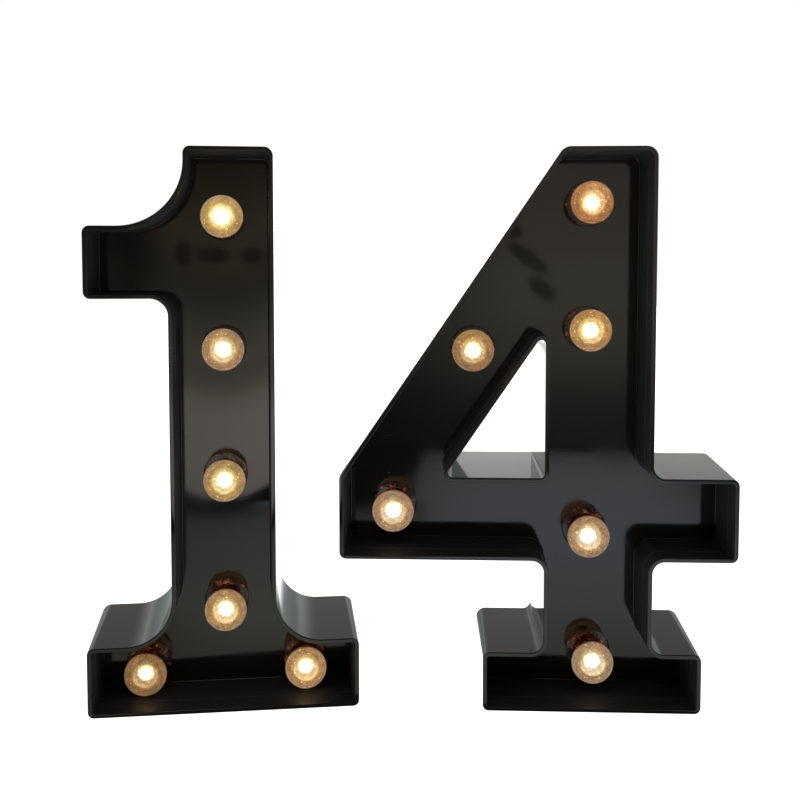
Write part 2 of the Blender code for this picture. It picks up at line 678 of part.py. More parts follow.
def four_outline():
    """The 4 as (u, v, radius) corners, anticlockwise from the right of its foot."""
    stem = FOUR_STEM / 2
    tip = -stem - FOUR_BAR_LEFT
    return [
        (stem + FOUR_FOOT_RIGHT, 0.0, SOLE_CORNER),
        (stem + FOUR_FOOT_RIGHT, FOUR_FOOT_RISE, CORNER),
        (stem, FOUR_FOOT_RISE, FOUR_FILLET),
        (stem, FOUR_BAR_BOTTOM, FOUR_FILLET),
        (stem + FOUR_BAR_RIGHT, FOUR_BAR_BOTTOM, CORNER),
        (stem + FOUR_BAR_RIGHT, FOUR_BAR_TOP, CORNER),
        (stem, FOUR_BAR_TOP, FOUR_FILLET),
        (stem, HEIGHT, FOUR_TOP_CORNER),
        (-FOUR_SHOULDER, HEIGHT, FOUR_TOP_CORNER),
        (tip, FOUR_BAR_TOP, FOUR_TIP_CORNER),
        (tip, FOUR_BAR_BOTTOM, CORNER),
        (-stem, FOUR_BAR_BOTTOM, FOUR_FILLET),
        (-stem, FOUR_FOOT_RISE, FOUR_FILLET),
        (-stem - FOUR_FOOT_LEFT, FOUR_FOOT_RISE, CORNER),
        (-stem - FOUR_FOOT_LEFT, 0.0, SOLE_CORNER),
    ]


def four_hole():
    """The triangle in the 4, clockwise: its slant runs along the outer one, a stroke's width inside."""
    stem = FOUR_STEM / 2
    tip = -stem - FOUR_BAR_LEFT
    slope = four_slope()
    left = tip + FOUR_STROKE / math.sin(slope)
    apex = FOUR_BAR_TOP + (-stem - left) * math.tan(slope)
    return [
        (-stem, FOUR_BAR_TOP, FOUR_HOLE_CORNER),
        (left, FOUR_BAR_TOP, FOUR_HOLE_CORNER),
        (-stem, apex, FOUR_HOLE_CORNER),
    ]


def midway(a, b):
    """The place halfway between two (u, v) places."""
    return (a[0] + b[0]) / 2, (a[1] + b[1]) / 2


def one_plan():
    """Where the bulbs, posts, battery box, switch and wires of the 1 are."""
    high, low = HEIGHT - ONE_TOP_BULB_DROP, ONE_LOW_BULB_RISE
    stem_bulbs = 4
    bulbs = [(0.0, high + (low - high) * k / (stem_bulbs - 1)) for k in range(stem_bulbs)]
    foot_bulb = ONE_FOOT / 2 - ONE_FOOT_BULB_INSET
    bulbs += [(-foot_bulb, ONE_FOOT_BULB_RISE), (foot_bulb, ONE_FOOT_BULB_RISE)]
    stem_post = midway(bulbs[2], bulbs[3])
    foot_post = ONE_FOOT / 2 - POST_FROM_EDGE + WALL
    posts = [(0.0, HEIGHT - POST_FROM_EDGE), stem_post]
    posts += [(side * foot_post, ONE_FOOT_RISE - POST_FROM_EDGE) for side in (-1, 1)]
    box_foot = stem_post[1] + POST_RADIUS + BOX_WALL + WIRE
    switch_rise = box_foot + BOX_LONG + BOX_WALL + TAIL_REACH + SWITCH_OVER_TAILS
    beside_post = (POST_RADIUS + WIRE + GAP + WIRE, stem_post[1])
    route = [bulbs[0], bulbs[1], bulbs[2], beside_post, bulbs[3], bulbs[4], bulbs[5],
             (WIRE_SIDE, bulbs[3][1]), (WIRE_SIDE, bulbs[2][1])]
    return bulbs, posts, box_foot, switch_rise, route


def four_plan():
    """Where the bulbs, posts, battery box, switch and wires of the 4 are."""
    stem = FOUR_STEM / 2
    tip = -stem - FOUR_BAR_LEFT
    shift = -FOUR_STEM_BULB_SHIFT
    rise = HEIGHT - FOUR_BAR_TOP
    stroke_v = FOUR_BAR_TOP + rise * FOUR_STROKE_BULB_SHARE
    stroke_u = tip + FOUR_STROKE_BULB_INSET + rise * FOUR_STROKE_BULB_SHARE / math.tan(four_slope())
    bulbs = [
        (shift, HEIGHT - FOUR_TOP_BULB_DROP),
        (shift, FOUR_BAR_TOP + rise * FOUR_SECOND_BULB_SHARE),
        (stroke_u, stroke_v),
        (tip + FOUR_BAR_BULB_INSET, FOUR_BAR_BOTTOM + FOUR_BAR_BULB_RISE),
        (shift, FOUR_BAR_BOTTOM + FOUR_CROSS_BULB_RISE),
        (0.0, FOUR_FOOT_BULB_RISE),
    ]
    bar_middle = (FOUR_BAR_BOTTOM + FOUR_BAR_TOP) / 2
    posts = [
        (stem / 2, HEIGHT - POST_FROM_EDGE),
        (tip + POST_FROM_EDGE - WALL, FOUR_BAR_BOTTOM + POST_FROM_EDGE - WALL),
        (stem + FOUR_BAR_RIGHT - POST_FROM_EDGE, bar_middle),
        (-stem - FOUR_FOOT_LEFT + POST_FROM_EDGE, FOUR_FOOT_RISE / 2),
    ]
    box_foot = bulbs[4][1] + POST_RADIUS + FLANGE_RADIUS
    switch_rise = box_foot + BOX_LONG + BOX_WALL + TAIL_REACH + SWITCH_OVER_TAILS
    hole = four_hole()
    over_apex = (hole[2][0], hole[2][1] + FLANGE_RADIUS)
    route = [bulbs[0], bulbs[1], over_apex, bulbs[2], bulbs[3], bulbs[4], bulbs[5],
             (WIRE_SIDE, bulbs[4][1])]
    return bulbs, posts, box_foot, switch_rise, route


def make_digit(name, contours, plan, place, turn, finishes):
    """All the pieces of one digit, under an empty that stands and turns it."""
    digit = bpy.data.objects.new(name, None)
    digit.location = (*place, 0.0)
    digit.rotation_euler.z = turn
    bpy.context.scene.collection.objects.link(digit)
    bulbs, posts, box_foot, switch_rise, route = plan

    make_shell(digit, contours, bulbs, posts, finishes["shell"])
    make_cover(digit, contours, posts, box_foot, switch_rise, finishes["cover"])
    make_door(digit, box_foot, finishes["cover"])
    make_switch(digit, switch_rise, finishes["switch"], finishes["cover"])
    make_power(digit, box_foot, finishes["metal"], finishes["cell"])
    make_wires(digit, bulbs, route, box_foot, switch_rise, finishes["red"], finishes["white"])

    for mesh, piece, material, places in (
        (bulb_mesh(), "bulb", finishes["clear"], bulbs),
        (lamp_mesh(), "lamp", finishes["lamp"], bulbs),
        (screw_mesh(), "screw", finishes["metal"], posts),
    ):
        for number, (u, v) in enumerate(places, 1):
            add_object(f"{name}_{piece}_{number}", mesh, material, digit, (u, 0.0, v))


def main():
    for thing in list(bpy.data.objects):
        bpy.data.objects.remove(thing)
    finishes = {
        "shell": finish("gloss black ABS", (0.012, 0.012, 0.012), 0.08),
        "cover": finish("matte black ABS", (0.015, 0.015, 0.015), 0.45),
        "clear": finish("clear polystyrene", (1.0, 0.93, 0.82), 0.03, transmission=1.0),
        "lamp": finish("warm white diode", (1.0, 0.72, 0.35), 0.2, emission=4.0),
        "metal": finish("nickel plated steel", (0.62, 0.60, 0.56), 0.3, metallic=1.0),
        "cell": finish("cell label film", (0.04, 0.10, 0.06), 0.35),
        "switch": finish("switch body nylon", (0.02, 0.02, 0.022), 0.5),
        "red": finish("red wire", (0.45, 0.02, 0.02), 0.5),
        "white": finish("white wire", (0.7, 0.7, 0.68), 0.5),
    }
    make_digit("one", [one_outline()], one_plan(), ONE_PLACE, ONE_TURN, finishes)
    make_digit("four", [four_outline(), four_hole()], four_plan(), FOUR_PLACE, FOUR_TURN, finishes)


main()
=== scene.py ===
"""The looks of a light-up marquee number 14: two free-standing black plastic digits with lit ball bulbs.

Each digit is made in its own frame, then set where its CAD nodes stand: u runs to the right, w to the back
and v up, with zero on the middle line of its stem, on its front face and on the ground.
"""

import math

import bmesh
import bpy
from mathutils import Matrix, Vector


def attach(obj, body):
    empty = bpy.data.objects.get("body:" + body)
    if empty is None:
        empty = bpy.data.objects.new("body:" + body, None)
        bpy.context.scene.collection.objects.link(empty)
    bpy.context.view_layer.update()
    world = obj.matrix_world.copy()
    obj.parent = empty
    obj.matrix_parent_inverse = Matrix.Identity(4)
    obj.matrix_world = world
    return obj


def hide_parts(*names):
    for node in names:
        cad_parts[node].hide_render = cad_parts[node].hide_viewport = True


MM = 0.001
GLOSS, SATIN = 0, 1

# Both digits, in millimetres
HEIGHT = 220.0
DEPTH = 52.1
WALL = 1.7
PANEL_FRONT = 29.0
PANEL_BACK = 30.6
COVER_FRONT = 50.0
GAP = 0.3
OUTER_DRAFT = math.tan(math.radians(1.5))
RECESS_DRAFT = math.tan(math.radians(0.5))
RIM_ROUND = 0.4
INNER_RIM_ROUND = 0.3
WALL_STEP_DEPTH = 10.2
WALL_STEP = 0.12
PANEL_FILLET = 0.3
HOLE_RADIUS = 8.8
HOLE_ROUND = 0.25
CORNER = 2.7
SOLE_CORNER = 2.4
POST_SINK = 0.7

# Ball bulb and diode
BALL_RADIUS = 8.4
BALL_CENTRE = 14.5
NECK_RADIUS = 6.0
FLANGE_RADIUS = 9.3
FLANGE_FRONT = 30.9
FLANGE_BACK = 32.1
FLANGE_ROUND = 0.2
NECK_FILLET = 0.4
BORE_RADIUS = 3.7
LAMP_RADIUS = 2.5
LAMP_BODY = 8.6
LAMP_RIM = 0.35
LAMP_RIM_LONG = 1.0
LAMP_POST_RADIUS = 1.3

# Battery box, cells, door opening, keyhole, switch and screws
BOX_HALF = 15.1
BOX_LONG = 56.1
BOX_WALL = 1.2
BOX_FLOOR = 1.0
BOX_FRONT = 33.9
LEDGE = 0.6
DOOR_CORNER = 0.5
COVER_ROUND = 0.25
CELL_SIDE = 7.45
CELL_LAYER = 42.45
CELL_RADIUS = 7.25
CELL_LONG = 50.5
CELL_BAND = 9.0
CELL_NUB_RADIUS = 2.75
CONTACT = 0.5
TAIL_REACH = 2.5
KEYHOLE_V = 196.0
KEYHOLE_RADIUS = 4.2
KEYHOLE_SLOT = 1.9
KEYHOLE_RUN = 8.0
THUMB_HALF = 2.3
SLOT_CORNER = 0.3
SWITCH_OVER_TAILS = 9.0
SWITCH_TRAVEL = 3.0
SCREW_RADIUS = 1.1
SCREW_HEAD_RADIUS = 2.6
SCREW_HEAD = 1.1
SCREW_SINK = 0.1
SCREW_LONG = 9.0
PITCH = 0.8
CROSS_ARM = 1.25
CROSS_HALF = 0.32
CROSS_DEPTH = 0.8
POST_RADIUS = 3.0

# In millimetres: points nearer than TOUCH are one, and what is within FLAT of a plane lies on it. An edge
# between faces that turn by more than SHARP_ANGLE degrees is drawn sharp
TOUCH = 0.002
FLAT = 0.001
SHARP_ANGLE = 30.0

# The tints of the bulbs' painted glow: their strength, and how far the tints by side run to either side, in
# millimetres
TINT_SHARE = 0.8
TINT_REACH = 100.0

# The tone in the middle of a card's soft dark marks
SPOT_TONE = 0.36

# The camera: its sensor in millimetres, the picture's side, the focal length and the row of the optical
# middle in pixels, and how far it looks down in degrees
SENSOR = 36.0
PICTURE = 800
FOCAL_PIXELS = 1100
MIDDLE_ROW = 335
LOOK_DOWN = 3.78

# Outlines as sharp (u, v, radius, segments) corners, anticlockwise from the right of the foot, and the hole
# in the 4 clockwise
ONE_OUTLINE = [
    (52.6, 0.0, SOLE_CORNER, 8), (52.6, 27.5, CORNER, 8), (20.1, 27.5, 18.0, 24), (20.1, 220.0, 3.6, 9),
    (-13.9, 220.0, CORNER, 8), (-13.9, 189.8, 25.2, 30), (-51.5, 189.8, CORNER, 8), (-51.5, 162.2, CORNER, 8),
    (-20.1, 162.2, 6.9, 12), (-20.1, 27.5, 18.0, 24), (-52.6, 27.5, CORNER, 8), (-52.6, 0.0, SOLE_CORNER, 8),
]
FOUR_OUTLINE = [
    (40.3, 0.0, SOLE_CORNER, 8), (40.3, 23.5, CORNER, 8), (20.95, 23.5, 4.8, 10), (20.95, 60.0, 4.8, 10),
    (53.75, 60.0, CORNER, 8), (53.75, 92.6, CORNER, 8), (20.95, 92.6, 4.8, 10), (20.95, 220.0, 4.4, 10),
    (-14.46, 220.0, 4.4, 8), (-100.85, 92.6, 4.0, 6), (-100.85, 60.0, CORNER, 8), (-20.95, 60.0, 4.8, 10),
    (-20.95, 23.5, 4.8, 10), (-44.5, 23.5, CORNER, 8), (-44.5, 0.0, SOLE_CORNER, 8),
]
FOUR_HOLE = [(-20.95, 92.6, 1.8, 6), (-59.89, 92.6, 1.8, 8), (-20.95, 150.03, 1.8, 8)]

# Where each digit stands and how far it is turned, the (u, v) places on it, and the tints of its bulbs'
# painted glow: the first tints go by the share of the height, the side ones by the share of the way from
# TINT_REACH left to right
DIGITS = {
    "one": {
        "place": (-71.36, -25.96), "turn": 7.0, "contours": [ONE_OUTLINE],
        "bulbs": [(0.0, 194.0), (0.0, 141.5), (0.0, 89.0), (0.0, 36.5), (-32.0, 11.4), (32.0, 11.4)],
        "posts": [(0.0, 212.0), (0.0, 62.75), (-46.3, 19.5), (46.3, 19.5)],
        "box_foot": 68.15,
        "glow_tints": [(0.05, (0.98, 0.88, 0.78)), (0.17, (1.0, 0.95, 0.9)), (0.4, (1.05, 1.08, 0.95)),
                       (0.64, (0.98, 0.94, 0.96)), (0.88, (1.15, 1.15, 0.88))],
        "side_glow_tints": [(0.37, 0.62), (0.45, 1.0), (0.6, 1.0), (0.66, 1.04)],
    },
    "four": {
        "place": (73.94, -26.26), "turn": -2.5, "contours": [FOUR_OUTLINE, FOUR_HOLE],
        "bulbs": [(-2.1, 199.5), (-2.1, 149.1), (-48.53, 141.0), (-80.45, 76.1), (-2.1, 66.4), (0.0, 15.0)],
        "posts": [(10.475, 212.0), (-94.55, 66.3), (45.75, 76.3), (-36.5, 11.75)],
        "box_foot": 78.7,
        "glow_tints": [(0.07, (0.95, 0.97, 1.15)), (0.33, (0.95, 0.93, 1.08)), (0.64, (0.95, 0.82, 0.78)),
                       (0.68, (1.12, 1.04, 0.8)), (0.9, (0.98, 0.72, 0.55))],
        "side_glow_tints": [(0.14, 1.03), (0.22, 0.86), (0.3, 0.86), (0.42, 1.0)],
    },
}

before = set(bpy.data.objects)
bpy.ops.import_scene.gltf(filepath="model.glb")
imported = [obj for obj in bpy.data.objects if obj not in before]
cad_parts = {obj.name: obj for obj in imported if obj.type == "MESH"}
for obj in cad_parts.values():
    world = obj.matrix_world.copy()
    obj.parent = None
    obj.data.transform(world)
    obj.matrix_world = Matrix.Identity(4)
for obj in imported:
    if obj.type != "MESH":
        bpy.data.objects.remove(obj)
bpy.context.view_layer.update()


# ---------------------------------------------------------------- helpers for shapes


ALONG_W = Matrix.Rotation(math.pi / 2, 4, "X")


def moved_out(corners, grow, sole):
    """Sharp corners after each side moved out by grow, and the side on the ground by sole."""
    points = [Vector(c[:2]) for c in corners]
    moved = []
    for i, here in enumerate(points):
        before, after = points[i - 1], points[(i + 1) % len(points)]
        d1, d2 = (here - before).normalized(), (after - here).normalized()
        g1 = sole if before.y == 0.0 == here.y else grow
        g2 = sole if here.y == 0.0 == after.y else grow
        shift = Vector((d2.y, -d2.x)) * g2 - Vector((d1.y, -d1.x)) * g1
        across = d1.x * d2.y - d1.y * d2.x
        along = (shift.x * d2.y - shift.y * d2.x) / across
        moved.append(here + Vector((d1.y, -d1.x)) * g1 + d1 * along)
    return moved


def rounded_ring(bm, corners, w, grow=0.0, sole=0.0):
    """The edges of an outline at depth w, its sides moved out by grow and its corners rounded by a bevel."""
    points = moved_out(corners, grow, sole)
    shape = bmesh.new()
    verts = [shape.verts.new((p.x, w, p.y)) for p in points]
    shape.faces.new(verts)
    for i, (vert, corner) in enumerate(zip(verts, corners)):
        d1 = points[i] - points[i - 1]
        d2 = points[(i + 1) % len(points)] - points[i]
        turn = math.atan2(d1.x * d2.y - d1.y * d2.x, d1.dot(d2))
        radius = max(corner[2] + math.copysign(grow, turn * grow), 0.1)
        bmesh.ops.bevel(shape, geom=[vert], offset=radius * math.tan(abs(turn) / 2), offset_type="OFFSET",
                        segments=corner[3], profile=0.5, affect="VERTICES", clamp_overlap=False, material=-1)
    face = shape.faces[:][0]
    ring = [bm.verts.new(vert.co) for vert in face.verts]
    shape.free()
    return [bm.edges.new((ring[i - 1], ring[i])) for i in range(len(ring))]


def round_ring(bm, centre, radius, w, segments=64):
    """The edges of a circle about a (u, v) place at depth w."""
    place = Matrix.Translation((centre[0], w, centre[1])) @ ALONG_W
    verts = bmesh.ops.create_circle(bm, cap_ends=False, radius=radius, segments=segments,
                                    matrix=place)["verts"]
    return list({edge for vert in verts for edge in vert.link_edges})


def filled(bm, edges):
    """Flat faces that fill the outline, clear of the rings inside it."""
    made = bmesh.ops.triangle_fill(bm, use_beauty=True, use_dissolve=False, edges=edges)["geom"]
    return [item for item in made if isinstance(item, bmesh.types.BMFace)]


def border(faces):
    """The edges round a patch of faces."""
    inside = set(faces)
    edges = {edge for face in faces for edge in face.edges}
    return [edge for edge in edges if sum(face in inside for face in edge.link_faces) == 1]


def verts_of(geom):
    """The vertices among a list of made geometry."""
    return [item for item in geom if isinstance(item, bmesh.types.BMVert)]


def stepped_skin(bm, contours, start, steps):
    """A skin that runs inwards from a ring: each step of (w, grow, sole, finish) insets and moves the patch.

    It gives the patch that closes the skin."""
    w, grow, sole = start
    edges = [edge for corners in contours for edge in rounded_ring(bm, corners, w, grow, sole)]
    patch = filled(bm, edges)
    for next_w, next_grow, next_sole, finish in steps:
        inset = grow - next_grow
        band = bmesh.ops.inset_region(bm, faces=patch, thickness=inset, depth=0.0, use_boundary=True,
                                      use_even_offset=True)["faces"]
        for face in band:
            face.material_index = finish
        verts = list({vert for face in patch for vert in face.verts})
        low = [v for v in verts if v.co.z < -sole + inset + SOLE_CORNER + grow + 0.05]
        bmesh.ops.translate(bm, verts=low, vec=(0.0, 0.0, sole - next_sole - inset))
        bmesh.ops.translate(bm, verts=verts, vec=(0.0, next_w - w, 0.0))
        w, grow, sole = next_w, next_grow, next_sole
    return patch


def arc(count):
    """Angles of a quarter turn in equal steps, without its start."""
    return [math.pi / 2 * k / count for k in range(1, count + 1)]


def piece(name, bm, material, digit=None, body="body", nodes=(), flat_weights=True):
    """A finished piece from a bmesh in millimetres: it is set in its digit's place, and rides on a body."""
    bmesh.ops.scale(bm, vec=(MM, MM, MM), verts=bm.verts)
    if digit:
        facts = DIGITS[digit]
        place = Matrix.Translation((facts["place"][0] * MM, facts["place"][1] * MM, 0.0))
        turn = Matrix.Rotation(math.radians(facts["turn"]), 4, "Z")
        bmesh.ops.transform(bm, matrix=place @ turn, verts=bm.verts)
    mesh = bpy.data.meshes.new(name)
    bm.to_mesh(mesh)
    bm.free()
    mesh.shade_smooth()
    mesh.set_sharp_from_angle(angle=math.radians(SHARP_ANGLE))
    thing = bpy.data.objects.new(name, mesh)
    bpy.context.scene.collection.objects.link(thing)
    for finish in material if isinstance(material, list) else [material]:
        mesh.materials.append(finish)
    if flat_weights:
        weights = thing.modifiers.new("Flat faces stay flat", "WEIGHTED_NORMAL")
        weights.keep_sharp = True
        weights.weight = 100
    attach(thing, body)
    if nodes:
        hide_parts(*nodes)


def tidy_shell(bm):
    """Closes the seams of a bmesh in millimetres and turns its faces outwards."""
    bmesh.ops.remove_doubles(bm, verts=bm.verts, dist=TOUCH)
    bmesh.ops.recalc_face_normals(bm, faces=bm.faces)


def turned(bm, profile, segments, centre, along="w"):
    """Spins a profile of (radius, place) points about an axis along w or v through a (u, w, v) centre."""
    points = [Vector((r, a, 0.0)) if along == "w" else Vector((r, 0.0, a)) for r, a in profile]
    verts = [bm.verts.new(p + Vector(centre)) for p in points]
    edges = [bm.edges.new(pair) for pair in zip(verts, verts[1:])]
    axis = (0.0, 1.0, 0.0) if along == "w" else (0.0, 0.0, 1.0)
    bmesh.ops.spin(bm, geom=verts + edges, cent=centre, axis=axis, angle=math.tau, steps=segments,
                   use_merge=True)


def block(bm, low, high):
    """A box between two (u, w, v) corners."""
    low, high = Vector(low), Vector(high)
    made = bmesh.ops.create_cube(bm, size=1.0)
    bmesh.ops.scale(bm, vec=high - low, verts=made["verts"])
    bmesh.ops.translate(bm, vec=(low + high) / 2, verts=made["verts"])


def oblong(half, low, high, radius):
    """The corners of an upright oblong on the stem's middle line, as an outline has them."""
    return [(u, v, radius, 3) for u, v in ((half, low), (half, high), (-half, high), (-half, low))]


def soften(bm, edges, offset, segments=2):
    """Rounds edges by a small bevel."""
    bmesh.ops.bevel(bm, geom=edges, offset=offset, offset_type="OFFSET", segments=segments, profile=0.5,
                    affect="EDGES", clamp_overlap=True, material=-1)


def softened_copy(name, node, material, offset, body):
    """A rigid CAD node with its sharp edges rounded, which stands for the node."""
    bm = bmesh.new()
    bm.from_mesh(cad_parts[node].data)
    bmesh.ops.scale(bm, vec=(1 / MM, 1 / MM, 1 / MM), verts=bm.verts)
    bmesh.ops.remove_doubles(bm, verts=bm.verts, dist=TOUCH)
    bmesh.ops.dissolve_limit(bm, angle_limit=math.radians(0.5), verts=bm.verts, edges=bm.edges)
    sharp = [e for e in bm.edges if len(e.link_faces) == 2 and e.calc_face_angle(0.0) > math.radians(35)]
    soften(bm, sharp, offset)
    piece(name, bm, material, None, body, [node])


# ---------------------------------------------------------------- helpers for materials


def colour(code):
    """The linear colour of an sRGB hex value."""
    parts = [int(code[i:i + 2], 16) / 255 for i in (0, 2, 4)]
    return (*(p / 12.92 if p <= 0.04045 else ((p + 0.055) / 1.055) ** 2.4 for p in parts), 1.0)


def add_node(tree, kind, inputs=None, stops=None, **settings):
    """Adds a node, with its settings, its ramp's stops, and its inputs as values or as sockets to link."""
    node = tree.nodes.new("ShaderNode" + kind)
    for name, value in settings.items():
        setattr(node, name, value)
    if stops:
        elements = node.color_ramp.elements
        while len(elements) < len(stops):
            elements.new(0.5)
        for element, (position, shade) in zip(elements, stops):
            element.position = position
            element.color = (*shade[:3], 1.0)
    for name, value in (inputs or {}).items():
        if isinstance(value, bpy.types.NodeSocket):
            tree.links.new(value, node.inputs[name])
        else:
            node.inputs[name].default_value = value
    return node


def new_material(name):
    """An empty material and its Principled shader."""
    material = bpy.data.materials.new(name)
    material.use_nodes = True
    tree = material.node_tree
    return material, tree, tree.nodes["Principled BSDF"]


def feed(tree, shader, sockets):
    """Links sockets to the shader's inputs."""
    for name, socket in sockets.items():
        tree.links.new(socket, shader.inputs[name])


def object_place(tree):
    """Object coordinates, in metres."""
    return add_node(tree, "TexCoord").outputs["Object"]


def noise(tree, place, size, detail=2.0, roughness=0.5, distortion=0.0):
    """Noise with features of about a size, in the unit of place."""
    return add_node(tree, "TexNoise", {
        "Vector": place, "Scale": 1 / size, "Detail": detail, "Roughness": roughness,
        "Distortion": distortion,
    }).outputs["Fac"]


def cells(tree, place, size, feature="F1"):
    """Distances in a pattern of random cells of about a size."""
    pattern = add_node(tree, "TexVoronoi", {"Vector": place, "Scale": 1 / size}, feature=feature)
    return pattern.outputs["Distance"]


def mixed(tree, share, first, second, blend="MIX"):
    """Two colours mixed."""
    return add_node(tree, "Mix", {"Factor": share, "A": first, "B": second}, data_type="RGBA",
                    blend_type=blend).outputs["Result"]


def remap(tree, value, low, high, to_low=0.0, to_high=1.0, smooth=False):
    """A value moved from one range to another, and held to it."""
    return add_node(tree, "MapRange", {
        "Value": value, "From Min": low, "From Max": high, "To Min": to_low, "To Max": to_high,
    }, interpolation_type="SMOOTHSTEP" if smooth else "LINEAR").outputs["Result"]


def maths(tree, operation, *values):
    """A sum of two or three values or sockets."""
    return add_node(tree, "Math", dict(enumerate(values)), operation=operation).outputs[0]


def ramp(tree, value, stops):
    """A colour ramp over a value."""
    return add_node(tree, "ValToRGB", {"Fac": value}, stops=stops).outputs["Color"]


def relief(tree, height, depth, strength=1.0, under=None):
    """A normal bent by a height, on top of another relief if there is one."""
    inputs = {"Height": height, "Strength": strength, "Distance": depth}
    if under:
        inputs["Normal"] = under
    return add_node(tree, "Bump", inputs).outputs["Normal"]


def gloss_case(name, seed):
    """High-gloss black ABS, injection moulded in a polished mould: mirror-like, with a faint warm black, soft
    flow waves that bend reflections, a haze of fine dust and a few hairline scratches."""
    material, tree, shader = new_material(name)
    place = add_node(tree, "Mapping", {
        "Vector": object_place(tree), "Location": (seed, seed, seed)}).outputs["Vector"]
    shader.inputs["IOR"].default_value = 1.52

    # Pigment that is a touch uneven, 30 mm across, and dust specks 0.4 mm across in a few of the 7 mm cells
    pigment = mixed(tree, noise(tree, place, 30 * MM), colour("070706"), colour("0e0d0b"))
    dust = remap(tree, cells(tree, place, 7 * MM), 0.030, 0.012)
    few = remap(tree, noise(tree, place, 45 * MM, 1.0), 0.52, 0.6)
    speck = maths(tree, "MULTIPLY", dust, few)

    # Handling haze: roughness between a clean mirror and a faint smear, in patches 25 mm across
    haze = remap(tree, noise(tree, place, 25 * MM, 4.0, 0.6), 0.35, 0.75, 0.045, 0.13)

    # Flow waves 35 mm long and hairline scratches 0.15 mm wide, drawn wider than real so that they show
    swell = relief(tree, noise(tree, place, 35 * MM, 0.0), 0.010 * MM)
    streaks = add_node(tree, "Mapping", {
        "Vector": place, "Rotation": (0.3, 0.9, 0.5), "Scale": (0.12, 1.0, 1.0)}).outputs["Vector"]
    hair = remap(tree, cells(tree, streaks, 4.5 * MM, "DISTANCE_TO_EDGE"), 0.0, 0.03)
    feed(tree, shader, {
        "Base Color": mixed(tree, speck, pigment, colour("8a8783")),
        "Roughness": maths(tree, "MULTIPLY_ADD", speck, 0.6, haze),
        "Normal": relief(tree, hair, 0.01 * MM, 0.12, swell)})
    return material


def grained_cover():
    """Matte black ABS with a spark-eroded grain: soft broad highlights broken up by fine pits."""
    material, tree, shader = new_material("spark-grained black ABS")
    place = object_place(tree)
    grain = noise(tree, place, 0.7 * MM, 3.0, 0.6)
    feed(tree, shader, {
        "Base Color": mixed(tree, noise(tree, place, 22 * MM, 3.0), colour("131312"), colour("1c1b1a")),
        "Roughness": remap(tree, grain, 0.3, 0.7, 0.42, 0.62),
        "Normal": relief(tree, grain, 0.05 * MM, 0.6)})
    return material


def digit_axes(tree, digit):
    """Coordinates in the digit's own frame, in millimetres, and their parts: u, w and v as X, Y and Z."""
    facts = DIGITS[digit]
    spot = (facts["place"][0] * MM, facts["place"][1] * MM, 0.0)
    place = add_node(tree, "Mapping", {
        "Vector": object_place(tree), "Location": spot, "Scale": (MM, MM, MM),
        "Rotation": (0.0, 0.0, math.radians(facts["turn"]))}, vector_type="TEXTURE").outputs["Vector"]
    return place, add_node(tree, "SeparateXYZ", {"Vector": place}).outputs


